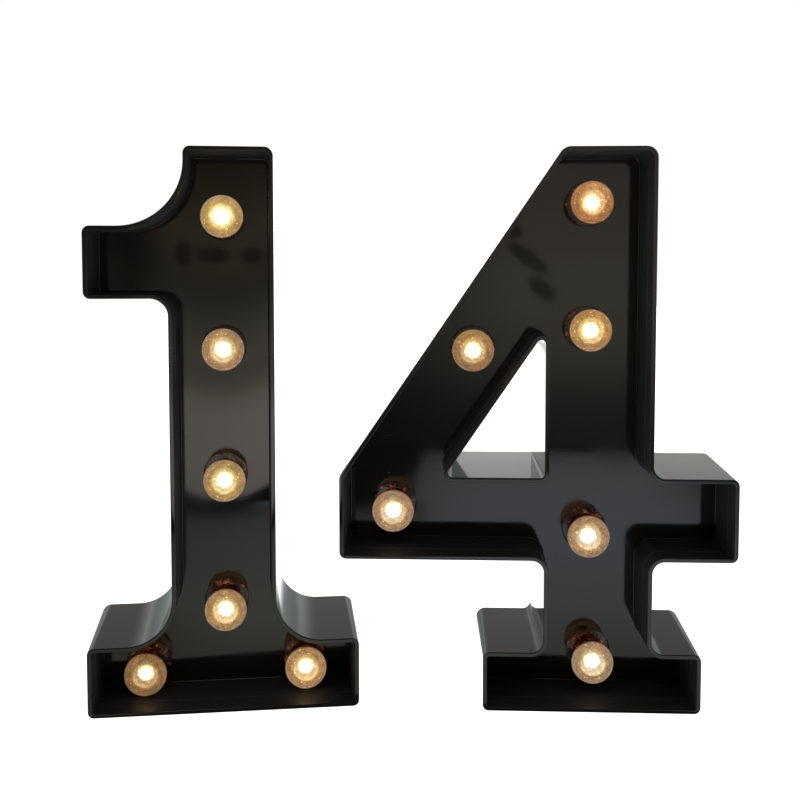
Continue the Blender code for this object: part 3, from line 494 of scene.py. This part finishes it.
def clear_bulb(digit):
    """Clear polystyrene, moulded hollow, lit from inside: fine flow lines break the light into sparkles, and
    the front of the ball holds a painted amber glow. Behind the ball's middle the plastic is painted dark
    brown, painted shade as dark as the hole that it looks into."""
    material, tree, shader = new_material("clear moulded polystyrene, " + digit)
    place, axes = digit_axes(tree, digit)
    shader.inputs["Transmission Weight"].default_value = 1.0
    shader.inputs["IOR"].default_value = 1.5
    cloud = noise(tree, place, 2.6)
    fine = noise(tree, place, 1.3, 3.0, distortion=1.5)
    grit = noise(tree, place, 0.8, 3.0, 0.7)
    hind = remap(tree, axes["Y"], BALL_CENTRE + 0.1, BALL_CENTRE + 1.9, smooth=True)
    clear = mixed(tree, cloud, colour("fff3dc"), colour("ffe6bd"))

    # The glow from the middle of the ball out to its edge, in the steps that the bore's wall gives
    facing = add_node(tree, "LayerWeight", {"Blend": 0.5}).outputs["Facing"]
    wander = remap(tree, fine, 0.3, 0.7, -0.07, 0.07)
    glow = ramp(tree, maths(tree, "ADD", facing, wander), [
        (0.0, (0.36, 0.30, 0.26)), (0.10, (0.31, 0.26, 0.19)), (0.15, (0.31, 0.26, 0.11)),
        (0.185, (0.36, 0.28, 0.12)), (0.24, (0.34, 0.23, 0.10)), (0.4, (0.34, 0.215, 0.10)),
        (0.6, (0.29, 0.19, 0.10)), (0.72, (0.31, 0.23, 0.15)), (0.86, (0.18, 0.13, 0.09)),
        (1.0, (0.10, 0.075, 0.055))])

    # Each bulb's painted glow, tinted and dimmed by its height and by its side
    rise = maths(tree, "DIVIDE", axes["Z"], HEIGHT)
    across = remap(tree, axes["X"], -TINT_REACH, TINT_REACH)
    by_height = ramp(tree, rise, [(spot, [TINT_SHARE * part for part in shade])
                                  for spot, shade in DIGITS[digit]["glow_tints"]])
    by_side = ramp(tree, across, [(spot, (shade, shade, shade))
                                  for spot, shade in DIGITS[digit]["side_glow_tints"]])
    # own is the tint of the painted glow at this bulb's place, not a colour of the plastic
    own = mixed(tree, 1.0, by_height, by_side, "MULTIPLY")
    shown = mixed(tree, 1.0, glow, own, "MULTIPLY")

    # The glow ends behind the ball's middle; it is cloudy and gritty, with sparkles about 0.3 mm across
    ball = remap(tree, axes["Y"], BALL_CENTRE - 1.7, BALL_CENTRE + 0.7, 1.25, 0.0)
    clouds = remap(tree, cloud, 0.3, 0.7, 0.75, 1.25)
    crumbs = remap(tree, grit, 0.32, 0.68, 0.6, 1.4)
    uneven = maths(tree, "MULTIPLY", clouds, crumbs)
    sparkle = remap(tree, cells(tree, place, 2.2), 0.17, 0.07, 0.0, 3.0)
    front = maths(tree, "MULTIPLY", ball, maths(tree, "ADD", sparkle, uneven))

    # Crumbs of orange light in the neck, where the diode shines through from the side
    flecks = remap(tree, maths(tree, "MULTIPLY", grit, cloud), 0.31, 0.40, 0.0, 0.35)
    neck = maths(tree, "MULTIPLY", hind, flecks)
    # The base colour is clear in front and a painted dark brown behind the ball's middle: painted shade that
    # keeps the neck dark
    feed(tree, shader, {
        "Base Color": mixed(tree, hind, clear, colour("50341f")),
        "Roughness": remap(tree, cloud, 0.0, 1.0, 0.0, 0.05),
        "Normal": relief(tree, fine, 0.09 * MM),
        "Emission Color": mixed(tree, hind, shown, colour("c8601e")),
        "Emission Strength": maths(tree, "ADD", front, neck)})
    return material


def warm_diode(digit):
    """Warm white diode in clear epoxy, lit: a white-hot dome that turns yellow and amber down its barrel."""
    material, tree, shader = new_material("lit warm white epoxy diode, " + digit)
    place, axes = digit_axes(tree, digit)
    heat = remap(tree, axes["Y"], BALL_CENTRE + 4.5, BALL_CENTRE - 0.9)
    glow = ramp(tree, heat, [(0.0, colour("8a3a08")), (0.35, colour("e08a1c")), (0.6, colour("ffc24a")),
                             (0.85, colour("ffe39c")), (1.0, colour("fff0c8"))])
    power = remap(tree, heat, 0.45, 1.0, 0.15, 2.6, smooth=True)
    lively = remap(tree, noise(tree, place, 0.7), 0.3, 0.7, 0.2, 1.8)
    feed(tree, shader, {"Base Color": glow, "Emission Color": glow,
                        "Emission Strength": maths(tree, "MULTIPLY", power, lively)})
    shader.inputs["Roughness"].default_value = 0.2
    return material


def plated_steel():
    """Nickel plated steel, tumbled: a bright warm grey metal with fine wear."""
    material, tree, shader = new_material("nickel plated steel")
    wear = noise(tree, object_place(tree), 1.2 * MM, 4.0)
    feed(tree, shader, {
        "Base Color": mixed(tree, wear, colour("b9b5ad"), colour("d8d4cb")),
        "Roughness": remap(tree, wear, 0.0, 1.0, 0.2, 0.42),
        "Normal": relief(tree, wear, 0.02 * MM, 0.3)})
    shader.inputs["Metallic"].default_value = 1.0
    return material


def label_film(name, dark, light):
    """Printed shrink film on a cell: a smooth satin sleeve with the grain of its print and soft wrinkles."""
    material, tree, shader = new_material(name)
    place = object_place(tree)
    grain = noise(tree, place, 0.5 * MM)
    feed(tree, shader, {
        "Base Color": mixed(tree, grain, colour(dark), colour(light)),
        "Roughness": remap(tree, grain, 0.0, 1.0, 0.24, 0.36),
        "Normal": relief(tree, noise(tree, place, 6 * MM, 1.0), 0.04 * MM, 0.3)})
    return material


def moulded_plastic(name, dark, light, low, high, sheen=0.5):
    """A plain moulded or extruded plastic with a faint mottle and orange peel."""
    material, tree, shader = new_material(name)
    mottle = noise(tree, object_place(tree), 1.5 * MM, 3.0)
    feed(tree, shader, {
        "Base Color": mixed(tree, mottle, colour(dark), colour(light)),
        "Roughness": remap(tree, mottle, 0.0, 1.0, low, high),
        "Normal": relief(tree, mottle, 0.02 * MM, 0.2)})
    shader.inputs["Specular IOR Level"].default_value = sheen
    return material


# ---------------------------------------------------------------- pieces


def make_case(digit, material):
    """The letter shell: a rim with round edges, a recess with a step round its wall, and the holed panel."""
    facts = DIGITS[digit]
    contours = facts["contours"]
    bm = bmesh.new()
    back = (DEPTH, DEPTH * OUTER_DRAFT, 0.0)

    # Over the rounded rim, down the stepped wall of the recess and round its foot to the panel
    steps = [(RIM_ROUND, RIM_ROUND * OUTER_DRAFT, 0.0, GLOSS)]
    for a in arc(4):
        inwards = RIM_ROUND * (1 - math.cos(a))
        steps.append((RIM_ROUND * (1 - math.sin(a)), RIM_ROUND * OUTER_DRAFT - inwards, -inwards, GLOSS))
    for a in [0.0] + arc(3):
        inwards = WALL - INNER_RIM_ROUND * (1 - math.sin(a))
        steps.append((INNER_RIM_ROUND * (1 - math.cos(a)), -inwards, -inwards, GLOSS))
    ledge = WALL + WALL_STEP_DEPTH * RECESS_DRAFT
    foot = WALL + PANEL_FRONT * RECESS_DRAFT + WALL_STEP
    steps += [(WALL_STEP_DEPTH, -ledge, -ledge, SATIN),
              (WALL_STEP_DEPTH + WALL_STEP, -ledge - WALL_STEP, -ledge - WALL_STEP, SATIN),
              (PANEL_FRONT - PANEL_FILLET, -foot, -foot, SATIN)]
    for a in arc(4):
        inwards = foot + PANEL_FILLET * (1 - math.cos(a))
        steps.append((PANEL_FRONT - PANEL_FILLET * (1 - math.sin(a)), -inwards, -inwards, GLOSS))
    front = stepped_skin(bm, contours, back, steps)

    behind = stepped_skin(bm, contours, back, [
        (DEPTH, DEPTH * OUTER_DRAFT - WALL, -WALL, SATIN),
        (PANEL_BACK, PANEL_BACK * OUTER_DRAFT - WALL, -WALL, SATIN)])

    # Both faces of the panel, their holes joined through it and rounded in front

    lips = []
    for patch, w in ((front, PANEL_FRONT), (behind, PANEL_BACK)):
        round_edge = border(patch)
        bmesh.ops.delete(bm, geom=patch, context="FACES")
        rings = [round_ring(bm, centre, HOLE_RADIUS, w) for centre in facts["bulbs"]]
        filled(bm, round_edge + [edge for ring in rings for edge in ring])
        lips.append(rings)
    for front_ring, back_ring in zip(*lips):
        bmesh.ops.bridge_loops(bm, edges=front_ring + back_ring)
    tidy_shell(bm)
    edges = [edge for ring in lips[0] for edge in ring if edge.is_valid]
    soften(bm, edges, HOLE_ROUND, 3)
    post_front, post_back = PANEL_BACK - POST_SINK, COVER_FRONT - GAP
    for u, v in facts["posts"]:
        place = Matrix.Translation((u, (post_front + post_back) / 2, v)) @ ALONG_W
        bmesh.ops.create_cone(bm, cap_ends=True, segments=24, radius1=POST_RADIUS, radius2=POST_RADIUS,
                              depth=post_back - post_front, matrix=place)
    piece(f"{digit}_case", bm, material, digit, "body", [f"{digit}_shell"])


def keyhole_ring(bm, w):
    """The keyhole's outline: a round hole for the head of a screw, and a slot above it for its neck."""
    before = set(bm.edges)
    cut = math.asin(KEYHOLE_SLOT / KEYHOLE_RADIUS)
    top = KEYHOLE_V + KEYHOLE_RUN - KEYHOLE_SLOT
    ends = []
    for u, v, hub, sweep, steps in (
            (KEYHOLE_SLOT, KEYHOLE_V + KEYHOLE_RADIUS * math.cos(cut), KEYHOLE_V, math.tau - 2 * cut, 40),
            (-KEYHOLE_SLOT, top, top, math.pi, 12)):
        first = bm.verts.new((u, w, v))
        last = bmesh.ops.spin(bm, geom=[first], cent=(0.0, w, hub), axis=(0.0, 1.0, 0.0), angle=sweep,
                              steps=steps)["geom_last"]
        ends += [first, *last]
    bm.edges.new((ends[1], ends[2]))
    bm.edges.new((ends[3], ends[0]))
    return [edge for edge in bm.edges if edge not in before]


def make_cover(digit, material):
    """The back cover: a plate with openings for door, keyhole, switch and screws, and the battery box."""
    facts = DIGITS[digit]
    foot = facts["box_foot"]
    switch = foot + BOX_LONG + BOX_WALL + TAIL_REACH + SWITCH_OVER_TAILS
    grow = COVER_FRONT * OUTER_DRAFT - WALL - GAP
    bm = bmesh.new()
    patch = stepped_skin(bm, facts["contours"], (COVER_FRONT, DEPTH * OUTER_DRAFT, 0.0),
                         [(COVER_FRONT, grow, -WALL - GAP, GLOSS)])
    edges = border(patch)
    bmesh.ops.delete(bm, geom=bm.faces[:], context="FACES_ONLY")
    kept = set(edges)
    bmesh.ops.delete(bm, geom=[edge for edge in bm.edges if edge not in kept], context="EDGES_FACES")
    bmesh.ops.delete(bm, geom=[vert for vert in bm.verts if not vert.link_edges], context="VERTS")
    opening = oblong(BOX_HALF + LEDGE, foot - LEDGE, foot + BOX_LONG + LEDGE, DOOR_CORNER)
    reach = SWITCH_TRAVEL / 2 + THUMB_HALF
    slot = oblong(THUMB_HALF, switch - reach, switch + reach, SLOT_CORNER)
    edges += rounded_ring(bm, opening, COVER_FRONT) + rounded_ring(bm, slot, COVER_FRONT)
    edges += keyhole_ring(bm, COVER_FRONT)
    for centre in facts["posts"]:
        edges += round_ring(bm, centre, SCREW_HEAD_RADIUS + GAP, COVER_FRONT, 32)
    plate = filled(bm, edges)
    made = bmesh.ops.extrude_face_region(bm, geom=plate)["geom"]
    bmesh.ops.translate(bm, verts=verts_of(made), vec=(0.0, DEPTH - COVER_FRONT, 0.0))
    tidy_shell(bm)
    rim = [e for e in bm.edges if all(abs(v.co.y - DEPTH) < FLAT for v in e.verts)
           and e.calc_face_angle(0.0) > math.radians(60)]
    soften(bm, rim, COVER_ROUND)

    tray = bmesh.new()
    block(tray, (-BOX_HALF - BOX_WALL, BOX_FRONT, foot - BOX_WALL),
          (BOX_HALF + BOX_WALL, COVER_FRONT, foot + BOX_LONG + BOX_WALL))
    mouth = [f for f in tray.faces if all(abs(v.co.y - COVER_FRONT) < FLAT for v in f.verts)]
    bmesh.ops.inset_region(tray, faces=mouth, thickness=BOX_WALL, depth=0.0, use_even_offset=True,
                           use_boundary=True)
    floor = bmesh.ops.extrude_face_region(tray, geom=mouth)["geom"]
    bmesh.ops.delete(tray, geom=mouth, context="FACES")
    bmesh.ops.translate(tray, verts=verts_of(floor), vec=(0.0, BOX_FRONT + BOX_FLOOR - COVER_FRONT, 0.0))
    tidy_shell(tray)
    helper = bpy.data.meshes.new("battery_box")
    tray.to_mesh(helper)
    tray.free()
    bm.from_mesh(helper)
    bpy.data.meshes.remove(helper)
    piece(f"{digit}_back", bm, material, digit, "body", [f"{digit}_back_cover"])


def make_bulb(digit, number, centre, material):
    """A clear ball on a hollow neck with a flange behind the panel, bored out for the diode."""
    bm = bmesh.new()
    last = math.pi - math.asin(NECK_RADIUS / BALL_RADIUS)
    count = 40
    profile = [(BALL_RADIUS * math.sin(a), BALL_CENTRE - BALL_RADIUS * math.cos(a))
               for a in (last * k / count for k in range(count + 1))]
    profile += [(NECK_RADIUS, FLANGE_FRONT - NECK_FILLET),
                (NECK_RADIUS + NECK_FILLET * 0.3, FLANGE_FRONT - NECK_FILLET * 0.3),
                (NECK_RADIUS + NECK_FILLET, FLANGE_FRONT), (FLANGE_RADIUS - FLANGE_ROUND, FLANGE_FRONT),
                (FLANGE_RADIUS, FLANGE_FRONT + FLANGE_ROUND), (FLANGE_RADIUS, FLANGE_BACK),
                (BORE_RADIUS, FLANGE_BACK)]
    end = BALL_CENTRE - LAMP_RADIUS
    profile += [(BORE_RADIUS * math.cos(a), end + BORE_RADIUS / 2 * (1 - math.sin(a)))
                for a in [0.0] + arc(10)]
    turned(bm, profile, 64, (centre[0], 0.0, centre[1]))
    tidy_shell(bm)
    piece(f"{digit}_ball_{number}", bm, material, digit, "body", [f"{digit}_bulb_{number}"],
          flat_weights=False)


def make_lamp(digit, number, centre, material):
    """A 5 mm diode with its rim, on a post with a round base."""
    bm = bmesh.new()
    tip = BALL_CENTRE - LAMP_RADIUS / 2
    body_back = tip + LAMP_BODY
    base = BORE_RADIUS - GAP
    rim = LAMP_RADIUS + LAMP_RIM
    profile = [(LAMP_RADIUS * math.sin(a), tip + LAMP_RADIUS * (1 - math.cos(a))) for a in [0.0] + arc(14)]
    profile += [(LAMP_RADIUS, body_back - LAMP_RIM_LONG), (rim, body_back - 0.9 * LAMP_RIM_LONG),
                (rim, body_back), (LAMP_POST_RADIUS, body_back), (LAMP_POST_RADIUS, FLANGE_FRONT),
                (base, FLANGE_FRONT), (base, FLANGE_BACK), (0.0, FLANGE_BACK)]
    turned(bm, profile, 40, (centre[0], 0.0, centre[1]))
    tidy_shell(bm)
    piece(f"{digit}_diode_{number}", bm, material, digit, "body", [f"{digit}_lamp_{number}"],
          flat_weights=False)


def make_screw(digit, number, centre, material):
    """A pan head screw with a cross recess."""
    bm = bmesh.new()
    back = DEPTH - SCREW_SINK
    front = back - SCREW_HEAD
    head = SCREW_HEAD_RADIUS
    dome = [(head, front), (head, front + 0.45), (head - 0.15, back - 0.3), (head - 0.55, back - 0.08),
            (head - 0.95, back)]
    start = COVER_FRONT - SCREW_LONG + GAP
    turns = math.ceil((front - PITCH / 2 - start) / PITCH) - 1
    thread = [point for k in range(turns) for point in (
        (SCREW_RADIUS - 0.25, start + k * PITCH), (SCREW_RADIUS, start + (k + 0.5) * PITCH))]
    turned(bm, [(0.0, start)] + thread + [(SCREW_RADIUS - 0.2, front)] + dome, 32,
           (centre[0], 0.0, centre[1]))
    bmesh.ops.remove_doubles(bm, verts=bm.verts, dist=TOUCH)
    rim = [e for e in bm.edges if e.is_boundary and all(abs(v.co.y - back) < FLAT for v in e.verts)]
    arm, half = CROSS_ARM, CROSS_HALF
    cross = [(half, -arm), (half, -half), (arm, -half), (arm, half), (half, half), (half, arm), (-half, arm),
             (-half, half), (-arm, half), (-arm, -half), (-half, -half), (-half, -arm)]
    verts = [bm.verts.new((centre[0] + u, back, centre[1] + v)) for u, v in cross]
    ring = [bm.edges.new((verts[i - 1], verts[i])) for i in range(len(verts))]
    filled(bm, rim + ring)
    sunk = bmesh.ops.extrude_edge_only(bm, edges=ring)["geom"]
    low = verts_of(sunk)
    bmesh.ops.translate(bm, verts=low, vec=(0.0, -CROSS_DEPTH, 0.0))
    bmesh.ops.scale(bm, vec=(0.6, 1.0, 0.6), verts=low,
                    space=Matrix.Translation((-centre[0], 0.0, -centre[1])))
    filled(bm, [g for g in sunk if isinstance(g, bmesh.types.BMEdge) and all(v in low for v in g.verts)])
    tidy_shell(bm)
    piece(f"{digit}_fixing_{number}", bm, material, digit, "body", [f"{digit}_screw_{number}"])


def make_cell(digit, number, side, foot, upside_down, materials):
    """An AA cell in a printed sleeve, with a coloured band at its plus end and bare metal ends."""
    bm = bmesh.new()
    r, top = CELL_RADIUS, CELL_LONG - 1.0
    nub = CELL_NUB_RADIUS
    profile = [(0.0, 0.0), (r - 1.9, 0.0), (r - 1.7, 0.15), (r - 0.6, 0.15), (r - 0.15, 0.3), (r, 0.7),
               (r, top - CELL_BAND), (r, top - 0.7), (r - 0.15, top - 0.3), (r - 0.6, top),
               (r - 1.2, top - 0.2), (nub, top - 0.2), (nub, CELL_LONG - 0.3), (nub - 0.3, CELL_LONG),
               (0.0, CELL_LONG)]
    turned(bm, profile, 48, (0.0, 0.0, 0.0), along="v")
    tidy_shell(bm)
    for face in bm.faces:
        middle = face.calc_center_median()
        outer = Vector((middle.x, middle.y)).length > r - 1.0
        if not outer:
            face.material_index = 2
        elif middle.z > top - CELL_BAND:
            face.material_index = 1
    if upside_down:
        bmesh.ops.rotate(bm, verts=bm.verts, cent=(0.0, 0.0, CELL_LONG / 2),
                         matrix=Matrix.Rotation(math.pi, 3, "X"))
    bmesh.ops.translate(bm, verts=bm.verts, vec=(side * CELL_SIDE, CELL_LAYER, foot))
    piece(f"{digit}_cell_{number}", bm, materials, digit, "body", [f"{digit}_battery_{number}"])


def set_digit(digit, finishes):
    """All the pieces of one digit."""
    facts = DIGITS[digit]
    make_case(digit, [finishes["case_" + digit], finishes["satin"]])
    make_cover(digit, finishes["cover"])
    for number, centre in enumerate(facts["bulbs"], 1):
        make_bulb(digit, number, centre, finishes["bulb_" + digit])
        make_lamp(digit, number, centre, finishes["diode_" + digit])
    for number, centre in enumerate(facts["posts"], 1):
        make_screw(digit, number, centre, finishes["steel"])
    foot = facts["box_foot"]
    ends = GAP + CONTACT + GAP
    sleeve = [finishes["sleeve"], finishes["band"], finishes["steel"]]
    make_cell(digit, 1, -1, foot + BOX_LONG - ends - CELL_LONG, False, sleeve)
    make_cell(digit, 2, 1, foot + ends, True, sleeve)
    for name, node, finish, offset, body, slot in (
            ("door", "battery_door", "cover", 0.15, f"{digit}_door", "cover_black"),
            ("slider", "switch_knob", "cover", 0.12, f"{digit}_switch", "cover_black"),
            ("switch_case", "switch_body", "nylon", 0.1, "body", "switch_nylon")):
        softened_copy(f"{digit}_{name}", f"{digit}_{node}", finishes[finish], offset, body)
    for node, finish in (("contact_plus", "steel"), ("contact_minus", "steel"), ("contact_bridge", "steel"),
                         ("supply_wire", "red"), ("lamp_wire", "white")):
        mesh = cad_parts[f"{digit}_{node}"].data
        mesh.materials.clear()
        mesh.materials.append(finishes[finish])


# ---------------------------------------------------------------- the studio


def stage_plane(name, low, high, material, hidden=()):
    """A flat stage piece between two corners, in metres, level or upright, hidden from the rays named."""
    bm = bmesh.new()
    low, high = Vector(low), Vector(high)
    size = high - low
    made = bmesh.ops.create_grid(bm, x_segments=1, y_segments=1, size=0.5)["verts"]
    if size.y == 0.0:
        bmesh.ops.rotate(bm, verts=made, matrix=Matrix.Rotation(math.pi / 2, 3, "X"))
    bmesh.ops.scale(bm, vec=[side or 1.0 for side in size], verts=made)
    bmesh.ops.translate(bm, vec=(low + high) / 2, verts=made)
    mesh = bpy.data.meshes.new(name)
    bm.to_mesh(mesh)
    bm.free()
    mesh.materials.append(material)
    thing = bpy.data.objects.new(name, mesh)
    bpy.context.scene.collection.objects.link(thing)
    for ray in hidden:
        setattr(thing, "visible_" + ray, False)


def lit_card(name, low, high, tones, fades=(), spots=(), bow=(0.0, 0.0)):
    """A card that only the gloss sees: its tones run along its height, or its depth if it lies flat.

    tones are (place in metres, colour); fades are (from x, to x, share at the first) at its sides; spots are
    (x, z, half width, half height, turn) of soft dark marks; bow is (x, rise a square metre) of its curved
    tones."""
    material = bpy.data.materials.new(name)
    material.use_nodes = True
    tree = material.node_tree
    tree.nodes.clear()
    place = object_place(tree)
    axes = add_node(tree, "SeparateXYZ", {"Vector": place}).outputs
    across = maths(tree, "SUBTRACT", axes["X"], bow[0])
    square = maths(tree, "MULTIPLY", across, across)
    bowed = maths(tree, "MULTIPLY_ADD", square, -bow[1], axes["Y" if low[2] == high[2] else "Z"])
    first, last = tones[0][0], tones[-1][0]
    tone = ramp(tree, remap(tree, bowed, first, last), [
        ((spot - first) / (last - first), shade) for spot, shade in tones])
    share = 1.0
    for start, end, least in fades:
        share = maths(tree, "MULTIPLY", remap(tree, axes["X"], start, end, least, smooth=True), share)
    for x, z, half_width, half_height, turn in spots:
        mark = add_node(tree, "Mapping", {
            "Vector": place, "Location": (x, low[1], z), "Rotation": (0.0, math.radians(turn), 0.0),
            "Scale": (half_width, 1.0, half_height)}, vector_type="TEXTURE").outputs["Vector"]
        far = add_node(tree, "VectorMath", {0: mark}, operation="LENGTH").outputs["Value"]
        share = maths(tree, "MULTIPLY", remap(tree, far, 0.8, 1.2, SPOT_TONE, smooth=True), share)
    glow = add_node(tree, "Emission", {"Color": tone, "Strength": share})
    add_node(tree, "OutputMaterial", {"Surface": glow.outputs["Emission"]})
    stage_plane(name, low, high, material, ("camera", "diffuse", "transmission", "volume_scatter", "shadow"))


def make_floor():
    """A plain white floor, which lights the digits softly from below and which their gloss doesn't mirror."""
    material, _, shader = new_material("white sweep")
    shader.inputs["Base Color"].default_value = (0.5, 0.5, 0.5, 1.0)
    shader.inputs["Roughness"].default_value = 1.0
    shader.inputs["Specular IOR Level"].default_value = 0.0
    shader.inputs["Emission Color"].default_value = (1.0, 1.0, 1.0, 1.0)
    shader.inputs["Emission Strength"].default_value = 1.3
    stage_plane("floor", (-4.0, -4.0, 0.0), (4.0, 4.0, 0.0), material, ("glossy",))


def make_cards():
    """The windows and tables that the two glossy fronts mirror."""
    lit_card("window beyond the 1", (-0.175, -0.1, 0.054), (-0.0365, -0.1, 0.25), [
        (0.0535, (0.02, 0.02, 0.02)), (0.0555, (0.05, 0.05, 0.05)), (0.0575, (1.95, 1.80, 1.60)),
        (0.075, (2.1, 1.9, 1.68)), (0.098, (2.1, 1.9, 1.68)), (0.106, (1.75, 1.55, 1.32)),
        (0.111, (1.30, 1.16, 0.96)), (0.119, (0.93, 0.86, 0.72)), (0.130, (1.0, 0.88, 0.72)),
        (0.137, (0.78, 0.72, 0.57)), (0.146, (0.60, 0.57, 0.43)), (0.154, (0.42, 0.38, 0.31)),
        (0.162, (0.37, 0.33, 0.25)), (0.180, (0.48, 0.38, 0.26)), (0.189, (0.50, 0.39, 0.26)),
        (0.199, (0.43, 0.33, 0.22)), (0.215, (0.27, 0.21, 0.14)), (0.232, (0.17, 0.15, 0.11))],
        fades=[(-0.112, -0.088, 0.22), (-0.09, -0.04, 0.86)],
        spots=[(-0.0855, 0.1805, 0.0042, 0.0062, 0.0), (-0.0715, 0.1800, 0.0085, 0.0040, 4.0),
               (-0.0520, 0.1795, 0.0060, 0.0040, 0.0)],
        bow=(-0.0665, 13.5))
    lit_card("table before the 1", (-0.22, -0.33, 0.001), (-0.012, -0.03, 0.001), [
        (-0.322, (0.02, 0.02, 0.02)), (-0.302, (0.40, 0.42, 0.38)), (-0.275, (0.62, 0.68, 0.62)),
        (-0.22, (0.70, 0.76, 0.69)), (-0.14, (0.82, 0.84, 0.75)), (-0.08, (0.90, 0.90, 0.76)),
        (-0.03, (0.72, 0.70, 0.60))],
        fades=[(-0.12, -0.03, 0.72)],
        bow=(-0.05, -16.0))
    lit_card("window beyond the 4", (-0.0365, -0.1, 0.08), (0.19, -0.1, 0.25), [
        (0.079, (0.02, 0.02, 0.02)), (0.081, (0.12, 0.12, 0.12)), (0.087, (0.16, 0.16, 0.15)),
        (0.098, (0.19, 0.19, 0.17)), (0.108, (0.26, 0.26, 0.22)), (0.118, (0.40, 0.40, 0.34)),
        (0.130, (0.60, 0.56, 0.44)), (0.155, (0.74, 0.68, 0.56)), (0.172, (0.72, 0.68, 0.57)),
        (0.190, (0.66, 0.56, 0.46)), (0.222, (0.58, 0.48, 0.42)), (0.232, (0.5, 0.42, 0.36))],
        fades=[(-0.03, 0.06, 0.35), (0.125, 0.10, 0.8)],
        spots=[(0.046, 0.191, 0.0035, 0.0035, 0.0), (0.0525, 0.178, 0.0125, 0.0038, 36.0),
               (0.0595, 0.1625, 0.0085, 0.0042, 40.0)])
    lit_card("table before the 4", (-0.028, -0.565, 0.0005), (0.26, -0.03, 0.0005), [
        (-0.563, (0.02, 0.02, 0.02)), (-0.556, (0.70, 0.70, 0.68)), (-0.46, (1.05, 1.08, 1.16)),
        (-0.28, (1.10, 1.15, 1.25)), (-0.2, (1.02, 1.08, 1.18)), (-0.1, (0.92, 0.95, 0.98)),
        (-0.05, (0.76, 0.76, 0.72)), (-0.03, (0.7, 0.7, 0.64))],
        fades=[(-0.045, 0.04, 0.72), (0.21, 0.15, 0.5)])


def make_world():
    """The room: white behind the digits, dimmer with height and to the sides, with a dark line where the wall
    ends, bright at its flanks and dark before them."""
    scene = bpy.context.scene
    scene.view_settings.view_transform = "Standard"
    world = bpy.data.worlds.new("studio")
    scene.world = world
    world.use_nodes = True
    tree = world.node_tree
    tree.nodes.clear()
    way = add_node(tree, "TexCoord").outputs["Generated"]
    axes = add_node(tree, "SeparateXYZ", {"Vector": way}).outputs
    middle = ramp(tree, axes["Z"], [
        (0.0, (2.1, 2.1, 2.1)), (0.09, (2.0, 2.0, 2.0)), (0.15, (1.3, 1.3, 1.28)), (0.21, (1.1, 1.1, 1.07)),
        (0.231, (0.95, 0.95, 0.92)), (0.235, (0.70, 0.70, 0.68)), (0.239, (0.90, 0.90, 0.87)),
        (0.26, (0.75, 0.75, 0.72)), (0.33, (0.42, 0.41, 0.38)), (0.6, (0.16, 0.17, 0.18)),
        (1.0, (0.22, 0.23, 0.24))])
    outer = ramp(tree, axes["Z"], [
        (0.0, (0.40, 0.45, 0.43)), (0.12, (0.42, 0.47, 0.45)), (0.21, (0.76, 0.76, 0.72)),
        (0.231, (0.68, 0.67, 0.64)), (0.235, (0.50, 0.50, 0.48)), (0.239, (0.65, 0.64, 0.61)),
        (0.33, (0.36, 0.35, 0.33)), (0.6, (0.16, 0.17, 0.18)), (1.0, (0.22, 0.23, 0.24))])
    aside = maths(tree, "ABSOLUTE", axes["X"])
    wall = mixed(tree, remap(tree, aside, 0.09, 0.2, smooth=True), middle, outer)
    behind = remap(tree, axes["Y"], -0.25, 0.35, smooth=True)
    room = mixed(tree, behind, (0.045, 0.043, 0.04, 1.0), wall)
    room = mixed(tree, remap(tree, aside, 0.7, 0.95, smooth=True), room, (0.9, 0.9, 0.92, 1.0))

    # Matt surfaces get an even soft light, the bulbs look into the dark, and the camera sees white
    rays = add_node(tree, "LightPath").outputs
    shown = mixed(tree, rays["Is Diffuse Ray"], room, (0.6, 0.6, 0.59, 1.0))
    shown = mixed(tree, rays["Is Transmission Ray"], shown, (0.03, 0.028, 0.026, 1.0))
    shown = mixed(tree, rays["Is Camera Ray"], shown, (1.0, 1.0, 1.0, 1.0))
    sky = add_node(tree, "Background", {"Color": shown})
    add_node(tree, "OutputWorld", {"Surface": sky.outputs["Background"]})


def make_camera():
    """The camera of the photograph: near the ground, above the digits' middle, looking slightly down."""
    data = bpy.data.cameras.new("camera")
    data.sensor_width = SENSOR
    data.lens = FOCAL_PIXELS / PICTURE * SENSOR
    data.shift_y = (MIDDLE_ROW - PICTURE / 2) / PICTURE
    data.clip_start = 0.01
    camera = bpy.data.objects.new("camera", data)
    camera.location = (-0.0030, -0.4462, 0.1760)
    camera.rotation_euler = (math.radians(90 - LOOK_DOWN), 0.0, 0.0)
    bpy.context.scene.collection.objects.link(camera)
    bpy.context.scene.camera = camera


def main():
    """Makes the camera, the studio and both digits."""
    finishes = {
        "case_one": gloss_case("high-gloss black ABS, one", 0.0),
        "case_four": gloss_case("high-gloss black ABS, four", 0.37),
        # Black ABS drawn satin by the core of the mould, which keeps the recess walls dark and soft
        "satin": moulded_plastic("satin black ABS, drawn recess wall", "1f2123", "282a2c", 0.45, 0.6, 0.22),
        "cover": grained_cover(),
        "bulb_one": clear_bulb("one"),
        "bulb_four": clear_bulb("four"),
        "diode_one": warm_diode("one"),
        "diode_four": warm_diode("four"),
        "steel": plated_steel(),
        # The cells' sleeves: a dark green body with a copper band at the plus end, as printed film
        "sleeve": label_film("dark green label film", "1d2a20", "26382b"),
        "band": label_film("copper label film", "a8703c", "bd8550"),
        # The switch's black nylon body, a little duller than the covers
        "nylon": moulded_plastic("moulded black nylon", "151515", "1e1e1e", 0.4, 0.55),
        # The wires' soft PVC, extruded with a low sheen
        "red": moulded_plastic("red PVC insulation", "a51414", "bb2420", 0.35, 0.5),
        "white": moulded_plastic("white PVC insulation", "dedcd6", "eceae4", 0.35, 0.5),
    }
    make_camera()
    make_floor()
    make_cards()
    make_world()
    for digit in DIGITS:
        set_digit(digit, finishes)


main()
